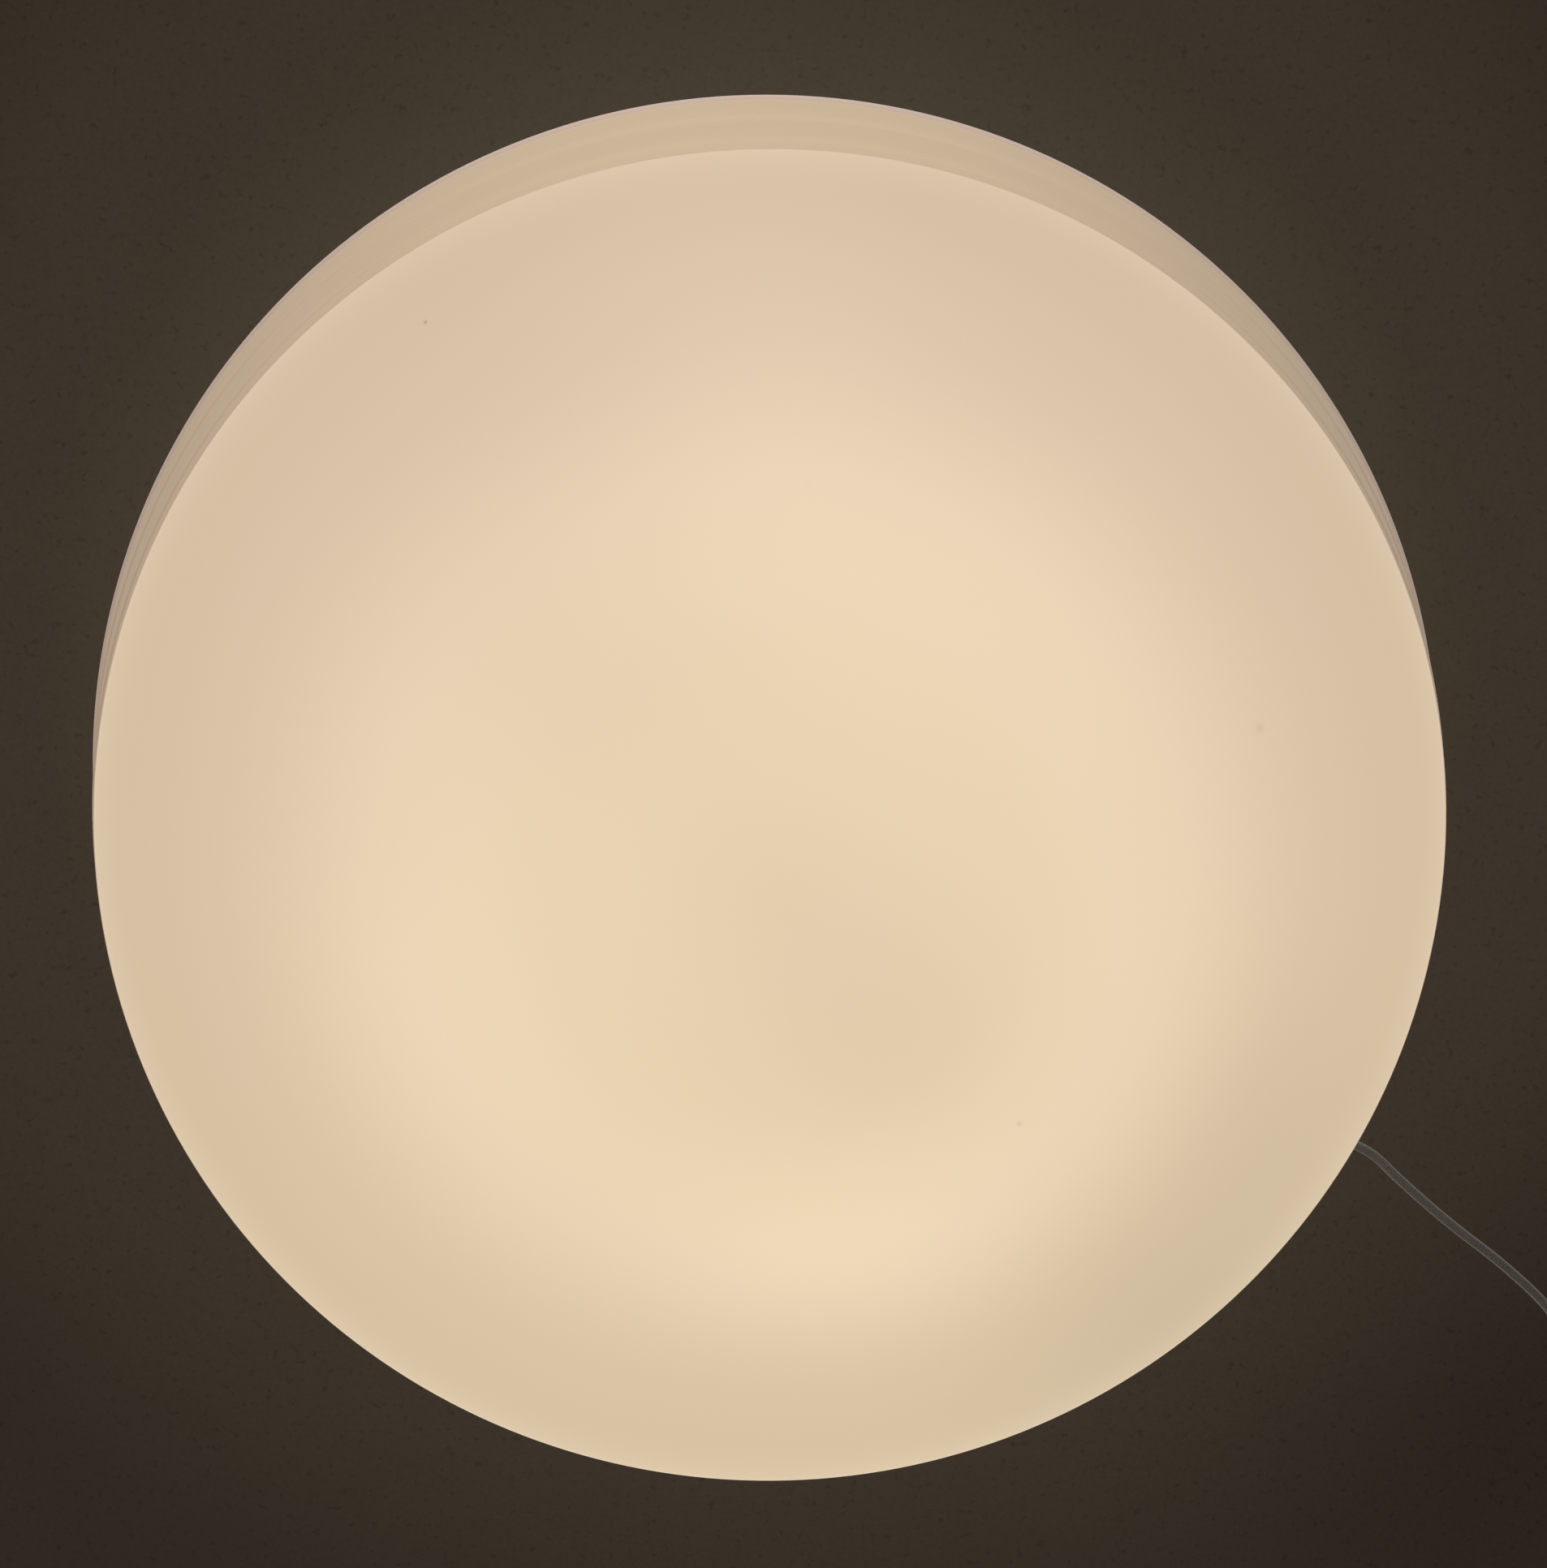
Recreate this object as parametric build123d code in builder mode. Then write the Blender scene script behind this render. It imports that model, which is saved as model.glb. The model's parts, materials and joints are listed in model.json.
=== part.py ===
from build123d import *
import math
import os

os.makedirs("parts", exist_ok=True)

# Opaline pendant light: a closed opal glass drum that hangs on its own flex.
# Frame: +Z up, the origin on the ceiling at the centre of the suspension base.
# All sizes are in millimetres. Levels are heights below the ceiling, so negative.

# Flex and its clearances
flex_diameter = 5.0
flex_radius = flex_diameter / 2
core_radius = 0.9
bore_clearance = 0.05
body_gap = 0.3

# Opal shade
rim_radius = 220.0
lip_radius = 250.0
wall_height = 120.0
dome_depth = 80.0
glass_wall = 3.0
step_width = 1.0
lower_step_height = 19.0
upper_step_height = 66.0
lip_height = 9.0
crease_radius = 4.0
shoulder_rise = 20.0
shoulder_bulge = 0.62
neck_radius = 160.0
neck_height = 13.0
bead_depth = 2.5
bead_height = 6.0

# Levels of the hanging lamp
ceiling_to_rim = 446.0
rim_level = -ceiling_to_rim
apex_level = rim_level - dome_depth
lip_level = rim_level + wall_height
neck_foot_level = lip_level + shoulder_rise
neck_top_level = neck_foot_level + neck_height

# Gallery pan that carries the shade
pan_wall = 1.2
gasket_wall = 1.5
gasket_width = 7.0
pan_skirt_gap = 5.0
pan_skirt_height = 5.0
pan_bead_radius = 106.0
pan_bead_width = 8.0
pan_bead_rise = 3.0
vent_count = 12
vent_radius = 4.0
vent_circle = 78.0
gasket_level = neck_top_level + body_gap
pan_level = gasket_level + gasket_wall
pan_top_level = pan_level + pan_wall
pan_radius = neck_radius + glass_wall + pan_skirt_gap + pan_wall

# Threaded stem and its fittings
stem_radius = 5.0
stem_bore = 3.2
hex_width = 14.0
nut_height = 4.0
washer_radius = 10.0
washer_height = 1.0
cap_height = 16.0
cap_radius = 46.0
cap_wall = 1.0
grip_radius = 8.5
grip_height = 21.0
grip_socket = 8.0
grip_wall = 2.2
bell_depth = 5.0
bell_throat = 3.2
bell_mouth = 5.6
grip_screw_radius = 1.5

# Lampholders and bulbs
bulb_angles = (72.0, 192.0, 312.0)
bulb_height = 66.0
bulb_level = rim_level + bulb_height
bulb_tip = 152.0
bulb_length = 108.0
globe_radius = 30.0
globe_wall = 1.5
cap_thread_radius = 13.0
thread_depth = 0.6
thread_pitch = 3.6
thread_turns = 6
collar_radius = 13.8
skirt_length = 30.0
holder_radius = 19.0
holder_base_radius = 15.5
holder_reach = 32.0
sleeve_radius = 14.4
sleeve_wall = 0.6

# Cluster hub that joins the holders to the stem
hub_inradius = 29.0
hub_wall = 1.5
hub_corner = 8.0
hub_height = 36.0
block_radius = 12.0
block_height = 10.0
nipple_reach = 6.0

# Shade springs
spring_angles = (12.0, 132.0, 252.0)
spring_width = 12.0
spring_wall = 0.6
rivet_radius = 1.5
rivet_head_radius = 3.0
rivet_head_height = 1.0
rivet_circles = (118.0, 129.0)

# Suspension cup at the ceiling
base_radius = 44.0
base_wall = 4.0
base_ring_wall = 3.0
base_ring_height = 9.0
base_hole_spacing = 50.0
base_hole_radius = 2.5
base_sink_radius = 5.0
base_sink_depth = 2.6
cup_wall = 1.2
cup_depth = 46.0
cup_rounding = 9.0
cup_fit = 0.2
ceiling_gap = 0.5
exit_tail_radius = 6.5
exit_tail_wall = 1.0
exit_hex_width = 18.0
exit_flare_depth = 12.0
cord_slot_width = 6.5
cord_slot_depth = 13.0
side_screw_radius = 1.5
side_screw_head = 3.0

# Ceiling rose, with its centre a short reach past the end of the flex
rose_reach_x = 23.0
rose_reach_y = 19.5
rose_radius = 44.0
rose_base_wall = 4.0
rose_ring_wall = 3.0
rose_ring_height = 8.0
rose_hole_spacing = 60.0
house_cable_radius = 7.0
house_cable_offset = 24.0
rose_cover_wall = 1.4
rose_cover_depth = 34.0
rose_cover_rounding = 10.0
rose_cover_fit = 0.4
rose_block_length = 30.0
rose_block_width = 14.0
rose_block_height = 12.0
rose_ways = 3
rose_way_pitch = 9.0
clamp_bar_length = 22.0
clamp_bar_width = 8.0
clamp_bar_wall = 2.5
clamp_screw_spacing = 14.0

# Route of the flex from the suspension cup to the rose, on the centre line.
# It lies under the ceiling, a little wavy, and sags slightly between its clips.
run_end_level = -64.8
flex_route = [
    (0.0, 0.0, run_end_level),
    (0.0, 0.0, -36.0),
    (12.5, 10.1, -10.5),
    (47.0, 38.0, -8.2),
    (93.0, 74.0, -4.7),
    (137.0, 109.5, -4.2),
    (182.0, 146.0, -5.0),
    (226.0, 181.5, -5.3),
    (268.0, 214.0, -4.3),
    (296.0, 236.5, -4.2),
    (320.5, 254.6, -5.0),
    (342.0, 276.3, -5.6),
    (374.5, 303.2, -6.0),
    (395.0, 318.8, -6.3),
    (420.0, 340.8, -7.4),
    (443.0, 360.5, -8.0),
]
clip_runs = (4, 8)
clip_length = 10.0
clip_wall = 1.6
nail_radius = 1.0
nail_head_radius = 2.6

# Pivots of the hanging flex
exit_pivot_level = run_end_level - body_gap - 0.4 - flex_radius
lamp_mouth_level = pan_top_level + cap_height + grip_height
lamp_pivot_level = lamp_mouth_level - bell_depth
tail_level = lamp_pivot_level - flex_radius - body_gap - 0.4

rose_x = flex_route[-1][0] + rose_reach_x
rose_y = flex_route[-1][1] + rose_reach_y
sphere_radius = (rim_radius**2 + dome_depth**2) / (2 * dome_depth)
cord_angle = math.degrees(math.atan2(flex_route[3][1], flex_route[3][0]))
node_count = 0


def save(piece, name):
    """Writes one finished piece under its name."""
    global node_count
    piece.part.label = name
    export_step(piece.part, f"parts/{name}.step")
    node_count += 1


def side_plane(angle, level=0.0, x=0.0, y=0.0):
    """A standing plane through an axis: x runs outward at the angle, y runs up."""
    turn = math.radians(angle)
    outward = (math.cos(turn), math.sin(turn), 0)
    sideways = (math.sin(turn), -math.cos(turn), 0)
    return Plane(origin=(x, y, level), x_dir=outward, z_dir=sideways)


def outward_axis(angle, level):
    """The level line out of the lamp's centre at the angle."""
    turn = math.radians(angle)
    return Axis((0, 0, level), (math.cos(turn), math.sin(turn), 0))


def radial_plane(angle, distance, level, x=0.0, y=0.0):
    """A plane that faces outward at the angle, with its own y pointing up."""
    turn = math.radians(angle)
    outward = (math.cos(turn), math.sin(turn), 0)
    sideways = (-math.sin(turn), math.cos(turn), 0)
    origin = (x + distance * outward[0], y + distance * outward[1], level)
    return Plane(origin=origin, x_dir=sideways, z_dir=outward)


def dome_level(radius, ball, apex):
    """Height of a ball's lower cap at a distance from its axis."""
    return apex + ball - math.sqrt(ball**2 - radius**2)


def route_radii(points):
    """The arc radius at each corner: 0.45 of the shorter run over the tangent of half the turn."""
    radii = []
    for before, corner, after in zip(points, points[1:], points[2:]):
        arriving = Vector(*corner) - Vector(*before)
        leaving = Vector(*after) - Vector(*corner)
        turn = math.radians(arriving.get_angle(leaving))
        shorter = min(arriving.length, leaving.length)
        radii.append(0.45 * shorter / math.tan(turn / 2))
    return radii


def cord_solid(points, radius):
    """A round cord along straight runs joined by tangent arcs."""
    start = Vector(*points[0])
    along = Vector(*points[1]) - start
    with BuildPart() as cord:
        with BuildLine() as path:
            FilletPolyline(*points, radius=route_radii(points))
        with BuildSketch(Plane(origin=start, z_dir=along)):
            Circle(radius)
        sweep(path=path.wires()[0])
    return cord, path.wires()[0].length


def straight_wire(start, end, radius):
    """A straight round core from one point to another."""
    along = Vector(*end) - Vector(*start)
    with BuildPart() as wire:
        with BuildSketch(Plane(origin=start, z_dir=along)):
            Circle(radius)
        extrude(amount=along.length)
    return wire


# Opal shade: a domed face, a stepped flaring wall, a shoulder and a beaded neck
with BuildPart() as opal_shade:
    flare = (lip_radius - rim_radius - 2 * step_width) / wall_height
    inner_ball = sphere_radius - glass_wall
    inner_rim = rim_radius - glass_wall
    inner_rim_level = dome_level(inner_rim, inner_ball, apex_level + glass_wall)
    mid_radius = rim_radius / 2
    lower_ring = rim_radius + flare * lower_step_height
    upper_ring = rim_radius + flare * upper_step_height + step_width
    lip_foot = lip_radius - flare * lip_height
    inner_lip_level = lip_level - glass_wall
    shoulder_mid_level = lip_level + shoulder_bulge * shoulder_rise
    foot_radius = inner_rim - glass_wall
    foot_level = dome_level(foot_radius, inner_ball, apex_level + glass_wall)
    outer_neck = neck_radius + glass_wall
    bead_top = neck_top_level - step_width
    bead_foot = bead_top - bead_height
    with BuildSketch(Plane.XZ):
        with BuildLine():
            ThreePointArc(
                (0, apex_level),
                (mid_radius, dome_level(mid_radius, sphere_radius, apex_level)),
                (rim_radius, rim_level),
            )
            Polyline(
                (rim_radius, rim_level),
                (lower_ring, rim_level + lower_step_height),
                (lower_ring + step_width, rim_level + lower_step_height + step_width),
                (upper_ring, rim_level + upper_step_height),
                (upper_ring + step_width, rim_level + upper_step_height + step_width),
                (lip_foot, lip_level - lip_height),
                (lip_radius, lip_level - lip_height / 2),
                (lip_radius, lip_level),
            )
            ThreePointArc(
                (lip_radius, lip_level),
                ((lip_radius + outer_neck) / 2, shoulder_mid_level),
                (outer_neck, neck_foot_level),
            )
            Polyline(
                (outer_neck, neck_foot_level),
                (outer_neck, neck_top_level),
                (neck_radius, neck_top_level),
                (neck_radius, bead_top),
                (neck_radius - bead_depth, bead_top - bead_depth / 2),
                (neck_radius - bead_depth, bead_foot + bead_depth / 2),
                (neck_radius, bead_foot),
                (neck_radius, neck_foot_level - glass_wall),
            )
            ThreePointArc(
                (neck_radius, neck_foot_level - glass_wall),
                ((lip_radius + neck_radius) / 2 - glass_wall, shoulder_mid_level - glass_wall),
                (lip_radius - 2 * glass_wall, inner_lip_level),
            )
            Polyline(
                (lip_radius - 2 * glass_wall, inner_lip_level),
                (lip_radius - glass_wall - step_width, inner_lip_level - glass_wall),
                (inner_rim, inner_rim_level + glass_wall),
                (foot_radius, foot_level),
            )
            ThreePointArc(
                (foot_radius, foot_level),
                (mid_radius, dome_level(mid_radius, inner_ball, apex_level + glass_wall)),
                (0, apex_level + glass_wall),
            )
            Line((0, apex_level + glass_wall), (0, apex_level))
        make_face()
    revolve(axis=Axis.Z)
    crease = opal_shade.edges().filter_by(GeomType.CIRCLE).filter_by(
        lambda edge: abs(edge.radius - rim_radius) < 0.01 and abs(edge.center().Z - rim_level) < 0.01
    )
    fillet(crease, crease_radius)
    lip_edge = opal_shade.edges().filter_by(GeomType.CIRCLE).filter_by(
        lambda edge: abs(edge.radius - lip_radius) < 0.01 and abs(edge.center().Z - lip_level) < 0.01
    )
    fillet(lip_edge, glass_wall / 2)
save(opal_shade, "opal_shade")

# Gallery pan: a spun steel dish with a turned-down skirt, a bead and vents
with BuildPart() as gallery_pan:
    bead_inner = pan_bead_radius - pan_bead_width
    bead_outer = pan_bead_radius + pan_bead_width
    with BuildSketch(Plane.XZ):
        with BuildLine():
            ThreePointArc(
                (bead_inner, pan_level),
                (pan_bead_radius, pan_level + pan_bead_rise),
                (bead_outer, pan_level),
            )
            Polyline(
                (bead_outer, pan_level),
                (pan_radius - pan_wall, pan_level),
                (pan_radius - pan_wall, pan_level - pan_skirt_height),
                (pan_radius, pan_level - pan_skirt_height),
                (pan_radius, pan_top_level),
                (bead_outer + pan_wall / 2, pan_top_level),
            )
            ThreePointArc(
                (bead_outer + pan_wall / 2, pan_top_level),
                (pan_bead_radius, pan_top_level + pan_bead_rise),
                (bead_inner - pan_wall / 2, pan_top_level),
            )
            Polyline(
                (bead_inner - pan_wall / 2, pan_top_level),
                (stem_radius + bore_clearance, pan_top_level),
                (stem_radius + bore_clearance, pan_level),
                (bead_inner, pan_level),
            )
        make_face()
    revolve(axis=Axis.Z)
    with BuildSketch(Plane.XY.offset(pan_top_level)):
        with PolarLocations(vent_circle, vent_count):
            Circle(vent_radius)
    extrude(amount=-pan_wall, mode=Mode.SUBTRACT)
    with BuildSketch(Plane.XY.offset(pan_top_level)):
        for circle in rivet_circles:
            with PolarLocations(circle, len(spring_angles), start_angle=spring_angles[0]):
                Circle(rivet_radius)
    extrude(amount=-pan_wall, mode=Mode.SUBTRACT)
    pan_edge = gallery_pan.edges().filter_by(GeomType.CIRCLE).filter_by(
        lambda edge: abs(edge.radius - pan_radius) < 0.01 and abs(edge.center().Z - pan_top_level) < 0.01
    )
    fillet(pan_edge, pan_wall)
save(gallery_pan, "gallery_pan")

# Gasket between the pan and the neck of the shade
with BuildPart() as neck_gasket:
    with BuildSketch(Plane.XY.offset(gasket_level)):
        Circle(neck_radius + glass_wall + gasket_width / 4)
        Circle(neck_radius + glass_wall + gasket_width / 4 - gasket_width, mode=Mode.SUBTRACT)
    extrude(amount=gasket_wall)
save(neck_gasket, "neck_gasket")

# Shade springs: three bent steel leaves whose knees carry the bead of the neck
knee_radius = neck_radius - body_gap - spring_wall
knee_level = bead_foot - 3.4
slope_radius = neck_radius - 8.0
slope_level = pan_level - spring_wall - 1.5
spring_centre_level = pan_level - spring_wall / 2
with BuildPart() as shade_springs:
    for angle in spring_angles:
        with BuildSketch(side_plane(angle)):
            with BuildLine():
                FilletPolyline(
                    (rivet_circles[0] - 6.0, spring_centre_level),
                    (slope_radius - 3.0, spring_centre_level),
                    (slope_radius, slope_level - 1.5),
                    (knee_radius, knee_level),
                    (knee_radius - 9.0, knee_level - 10.0),
                    radius=[1.5, 3.0, 1.5],
                )
            trace(line_width=spring_wall)
        extrude(amount=spring_width / 2, both=True)
    with BuildSketch(Plane.XY.offset(pan_level)):
        for circle in rivet_circles:
            with PolarLocations(circle, len(spring_angles), start_angle=spring_angles[0]):
                Circle(rivet_radius)
    extrude(amount=-spring_wall, mode=Mode.SUBTRACT)
save(shade_springs, "shade_springs")

# Rivets that hold the springs to the pan
with BuildPart() as spring_rivets:
    for circle in rivet_circles:
        for angle in spring_angles:
            centre = side_plane(angle).from_local_coords((circle, 0, 0))
            with BuildSketch(Plane.XY.offset(pan_top_level)):
                with Locations((centre.X, centre.Y)):
                    Circle(rivet_head_radius)
            extrude(amount=rivet_head_height)
            with BuildSketch(Plane.XY.offset(pan_top_level)):
                with Locations((centre.X, centre.Y)):
                    Circle(rivet_radius)
            extrude(amount=-pan_wall - spring_wall)
            with BuildSketch(Plane.XY.offset(pan_level - spring_wall)):
                with Locations((centre.X, centre.Y)):
                    Circle(rivet_head_radius)
            extrude(amount=-rivet_head_height)
save(spring_rivets, "spring_rivets")

# Top cap: a small spun cover over the stem's upper nut
cap_top_level = pan_top_level + cap_height
with BuildPart() as top_cap:
    with BuildSketch(Plane.XZ):
        with BuildLine():
            Polyline(
                (stem_radius + bore_clearance, cap_top_level - cap_wall),
                (grip_radius + 4.0, cap_top_level - cap_wall),
                (cap_radius - cap_wall, pan_top_level + 3.0),
                (cap_radius - cap_wall, pan_top_level),
                (cap_radius, pan_top_level),
                (cap_radius, pan_top_level + 3.0 + cap_wall),
                (grip_radius + 4.0, cap_top_level),
                (stem_radius + bore_clearance, cap_top_level),
                close=True,
            )
        make_face()
    revolve(axis=Axis.Z)
save(top_cap, "top_cap")

# Threaded stem from the cord grip down into the hub
hub_top_level = bulb_level + hub_height / 2
hub_bottom_level = bulb_level - hub_height / 2
stem_top_level = cap_top_level + grip_socket
stem_bottom_level = hub_top_level - hub_wall - nut_height - 2.0
with BuildPart() as stem_tube:
    with BuildSketch(Plane.XY.offset(stem_bottom_level)):
        Circle(stem_radius)
        Circle(stem_bore, mode=Mode.SUBTRACT)
    extrude(amount=stem_top_level - stem_bottom_level)
save(stem_tube, "stem_tube")

# Washers and hexagon nuts on the stem
washer_levels = (pan_top_level, pan_level - washer_height, hub_top_level)
nut_levels = (
    pan_top_level + washer_height,
    pan_level - washer_height - nut_height,
    hub_top_level + washer_height,
    hub_top_level - hub_wall - nut_height,
)
with BuildPart() as stem_washers:
    for level in washer_levels:
        with BuildSketch(Plane.XY.offset(level)):
            Circle(washer_radius)
            Circle(stem_radius + bore_clearance, mode=Mode.SUBTRACT)
        extrude(amount=washer_height)
save(stem_washers, "stem_washers")

with BuildPart() as stem_nuts:
    for level in nut_levels:
        with BuildSketch(Plane.XY.offset(level)):
            RegularPolygon(hex_width / 2, 6, major_radius=False)
            Circle(stem_radius + bore_clearance, mode=Mode.SUBTRACT)
        extrude(amount=nut_height)
save(stem_nuts, "stem_nuts")

# Lamp's cord grip: a turned nylon barrel with a belled mouth for the swinging flex
with BuildPart() as lamp_cord_grip:
    with BuildSketch(Plane.XZ):
        with BuildLine():
            Polyline(
                (stem_radius + bore_clearance, cap_top_level),
                (grip_radius, cap_top_level),
                (grip_radius, lamp_mouth_level - 4.0),
                (bell_mouth + grip_wall - 1.0, lamp_mouth_level),
                (bell_mouth, lamp_mouth_level),
                (bell_throat, lamp_pivot_level),
                (bell_throat, tail_level),
                (flex_radius + bore_clearance, tail_level - 1.0),
                (flex_radius + bore_clearance, stem_top_level),
                (stem_radius + bore_clearance, stem_top_level),
                close=True,
            )
        make_face()
    revolve(axis=Axis.Z)
    with BuildSketch(radial_plane(0, 0, stem_top_level + 2.2)):
        Circle(grip_screw_radius)
    extrude(amount=grip_radius + 1.0, mode=Mode.SUBTRACT)
save(lamp_cord_grip, "lamp_cord_grip")

with BuildPart() as lamp_grip_screw:
    with BuildSketch(radial_plane(0, flex_radius + bore_clearance, stem_top_level + 2.2)):
        Circle(grip_screw_radius)
    extrude(amount=grip_radius - flex_radius)
    with BuildSketch(radial_plane(0, grip_radius + bore_clearance, stem_top_level + 2.2)):
        Rectangle(2 * grip_screw_radius, 0.6)
    extrude(amount=-1.0, mode=Mode.SUBTRACT)
save(lamp_grip_screw, "lamp_grip_screw")

# Flex tail held in the grip and led down the stem to the terminal block
block_top_level = bulb_level + block_height / 2
tail_end_level = stem_bottom_level - 1.0
with BuildPart() as flex_tail:
    with BuildSketch(Plane.XY.offset(tail_end_level)):
        Circle(flex_radius)
    extrude(amount=tail_level - tail_end_level)
save(flex_tail, "flex_tail")

# Cluster hub: a pressed steel three-sided box whose flats carry the lampholders
hub_rotation = bulb_angles[0] + 60.0
with BuildPart() as cluster_hub:
    with BuildSketch(Plane.XY.offset(hub_bottom_level)) as hub_outline:
        RegularPolygon(hub_inradius, 3, major_radius=False, rotation=hub_rotation)
        fillet(hub_outline.vertices(), hub_corner)
    extrude(amount=hub_height)
    with BuildSketch(Plane.XY.offset(hub_bottom_level)) as hub_hollow:
        RegularPolygon(hub_inradius - hub_wall, 3, major_radius=False, rotation=hub_rotation)
        fillet(hub_hollow.vertices(), hub_corner - hub_wall)
    extrude(amount=hub_height - hub_wall, mode=Mode.SUBTRACT)
    with BuildSketch(Plane.XY.offset(hub_top_level)):
        Circle(stem_radius + bore_clearance)
    extrude(amount=-hub_wall, mode=Mode.SUBTRACT)
    for angle in bulb_angles:
        with BuildSketch(radial_plane(angle, 0, bulb_level)):
            Circle(stem_radius + bore_clearance)
        extrude(amount=hub_inradius + hub_wall, mode=Mode.SUBTRACT)
    earth_spot = radial_plane(spring_angles[0], hub_inradius * 0.75, hub_top_level).origin
    with BuildSketch(Plane.XY.offset(hub_top_level)):
        with Locations((earth_spot.X, earth_spot.Y)):
            Circle(side_screw_radius)
    extrude(amount=-hub_wall, mode=Mode.SUBTRACT)
save(cluster_hub, "cluster_hub")

# Cover that closes the hub from below, with its centre screw
cover_boss_level = bulb_level - block_height / 2
with BuildPart() as hub_cover:
    with BuildSketch(Plane.XY.offset(hub_bottom_level)) as cover_outline:
        RegularPolygon(hub_inradius, 3, major_radius=False, rotation=hub_rotation)
        fillet(cover_outline.vertices(), hub_corner)
        Circle(side_screw_radius, mode=Mode.SUBTRACT)
    extrude(amount=-hub_wall)
save(hub_cover, "hub_cover")

with BuildPart() as hub_cover_screw:
    with BuildSketch(Plane.XY.offset(cover_boss_level)):
        Circle(side_screw_radius)
    extrude(amount=hub_bottom_level - hub_wall - cover_boss_level)
    with BuildSketch(Plane.XY.offset(hub_bottom_level - hub_wall)):
        Circle(side_screw_head)
    extrude(amount=-2.0)
    with BuildSketch(Plane.XY.offset(hub_bottom_level - hub_wall - 2.0)):
        Rectangle(2 * side_screw_head, 0.8)
    extrude(amount=1.0, mode=Mode.SUBTRACT)
save(hub_cover_screw, "hub_cover_screw")

# Terminal block in the hub: a round porcelain block with a raised boss
with BuildPart() as terminal_block:
    with BuildSketch(Plane.XY.offset(cover_boss_level)):
        Circle(block_radius)
    extrude(amount=block_height)
    fillet(terminal_block.edges().filter_by(GeomType.CIRCLE), 1.0)
save(terminal_block, "terminal_block")

# Insulated cores in the hub: from the flex tail to the block and on to each holder
holder_floor = hub_inradius + 9.0
core_offset = 1.3


def hub_cores(side):
    """One colour of core: a drop from the tail and a branch to every holder."""
    offset = side * core_offset
    foot = (offset, core_offset, block_top_level)
    wires = [straight_wire(foot, (offset, core_offset, tail_end_level), core_radius)]
    for angle in bulb_angles:
        plane = side_plane(angle, bulb_level)
        start = plane.from_local_coords((block_radius + bore_clearance, 0, offset))
        end = plane.from_local_coords((holder_floor, 0, offset))
        wires.append(straight_wire(start, end, core_radius))
    with BuildPart() as cores:
        for wire in wires:
            add(wire.part)
    return cores


save(hub_cores(-1), "hub_cores_live")
save(hub_cores(1), "hub_cores_neutral")

earth_route = [
    (0.0, -core_offset, tail_end_level),
    (0.0, -core_offset, tail_end_level - 2.4),
    (earth_spot.X * 0.6, earth_spot.Y * 0.6 - core_offset, tail_end_level - 1.8),
    (earth_spot.X, earth_spot.Y, hub_top_level - hub_wall - 3.2),
]
hub_core_earth = cord_solid(earth_route, core_radius)[0]
save(hub_core_earth, "hub_core_earth")

with BuildPart() as earth_screw:
    with BuildSketch(Plane.XY.offset(hub_top_level)):
        with Locations((earth_spot.X, earth_spot.Y)):
            Circle(side_screw_head)
    extrude(amount=1.6)
    with BuildSketch(Plane.XY.offset(hub_top_level)):
        with Locations((earth_spot.X, earth_spot.Y)):
            Circle(side_screw_radius)
    extrude(amount=-hub_wall - 2.0)
save(earth_screw, "earth_screw")

# Lampholders, one on each flat of the hub
bulb_base = bulb_tip - bulb_length
holder_mouth = bulb_base + holder_reach
for number, angle in enumerate(bulb_angles, start=1):
    with BuildPart() as lampholder:
        with BuildSketch(side_plane(angle, bulb_level)):
            with BuildLine():
                Polyline(
                    (hub_inradius, stem_radius + bore_clearance),
                    (hub_inradius, holder_base_radius),
                    (holder_floor + 1.0, holder_base_radius),
                    (holder_floor + 4.0, holder_radius),
                    (holder_mouth - 6.0, holder_radius),
                    (holder_mouth - 6.0, holder_radius - 1.0),
                    (holder_mouth - 1.0, holder_radius - 1.0),
                    (holder_mouth, holder_radius - 2.0),
                    (holder_mouth, sleeve_radius + bore_clearance + 0.6),
                    (holder_mouth - 3.0, sleeve_radius + bore_clearance),
                    (holder_floor + 2.0, sleeve_radius + bore_clearance),
                    (holder_floor + 2.0, stem_radius + bore_clearance),
                    close=True,
                )
            make_face()
        revolve(axis=outward_axis(angle, bulb_level))
    save(lampholder, f"lampholder_{number}")

# Threaded brass sleeves inside the lampholders
with BuildPart() as holder_sleeves:
    for angle in bulb_angles:
        with BuildSketch(radial_plane(angle, bulb_base + 7.0, bulb_level)):
            Circle(sleeve_radius)
            Circle(sleeve_radius - sleeve_wall, mode=Mode.SUBTRACT)
        extrude(amount=holder_mouth - 4.0 - bulb_base - 7.0)
save(holder_sleeves, "holder_sleeves")

# Centre contacts: a sprung brass stud on an insulating floor, one in each holder
contact_gap = 0.4
with BuildPart() as holder_contacts:
    for angle in bulb_angles:
        with BuildSketch(radial_plane(angle, holder_floor + 2.0, bulb_level)):
            Circle(stem_radius + 5.0)
        extrude(amount=1.2)
        with BuildSketch(radial_plane(angle, holder_floor + 3.2, bulb_level)):
            Circle(2.5)
        extrude(amount=bulb_base - contact_gap - holder_floor - 3.2)
save(holder_contacts, "holder_contacts")

# Threaded nipples and their nuts that hold the lampholders to the hub
with BuildPart() as holder_nipples:
    for angle in bulb_angles:
        with BuildSketch(radial_plane(angle, hub_inradius - nipple_reach, bulb_level)):
            Circle(stem_radius)
            Circle(stem_bore, mode=Mode.SUBTRACT)
        extrude(amount=holder_floor + 1.5 - hub_inradius + nipple_reach)
save(holder_nipples, "holder_nipples")

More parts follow.
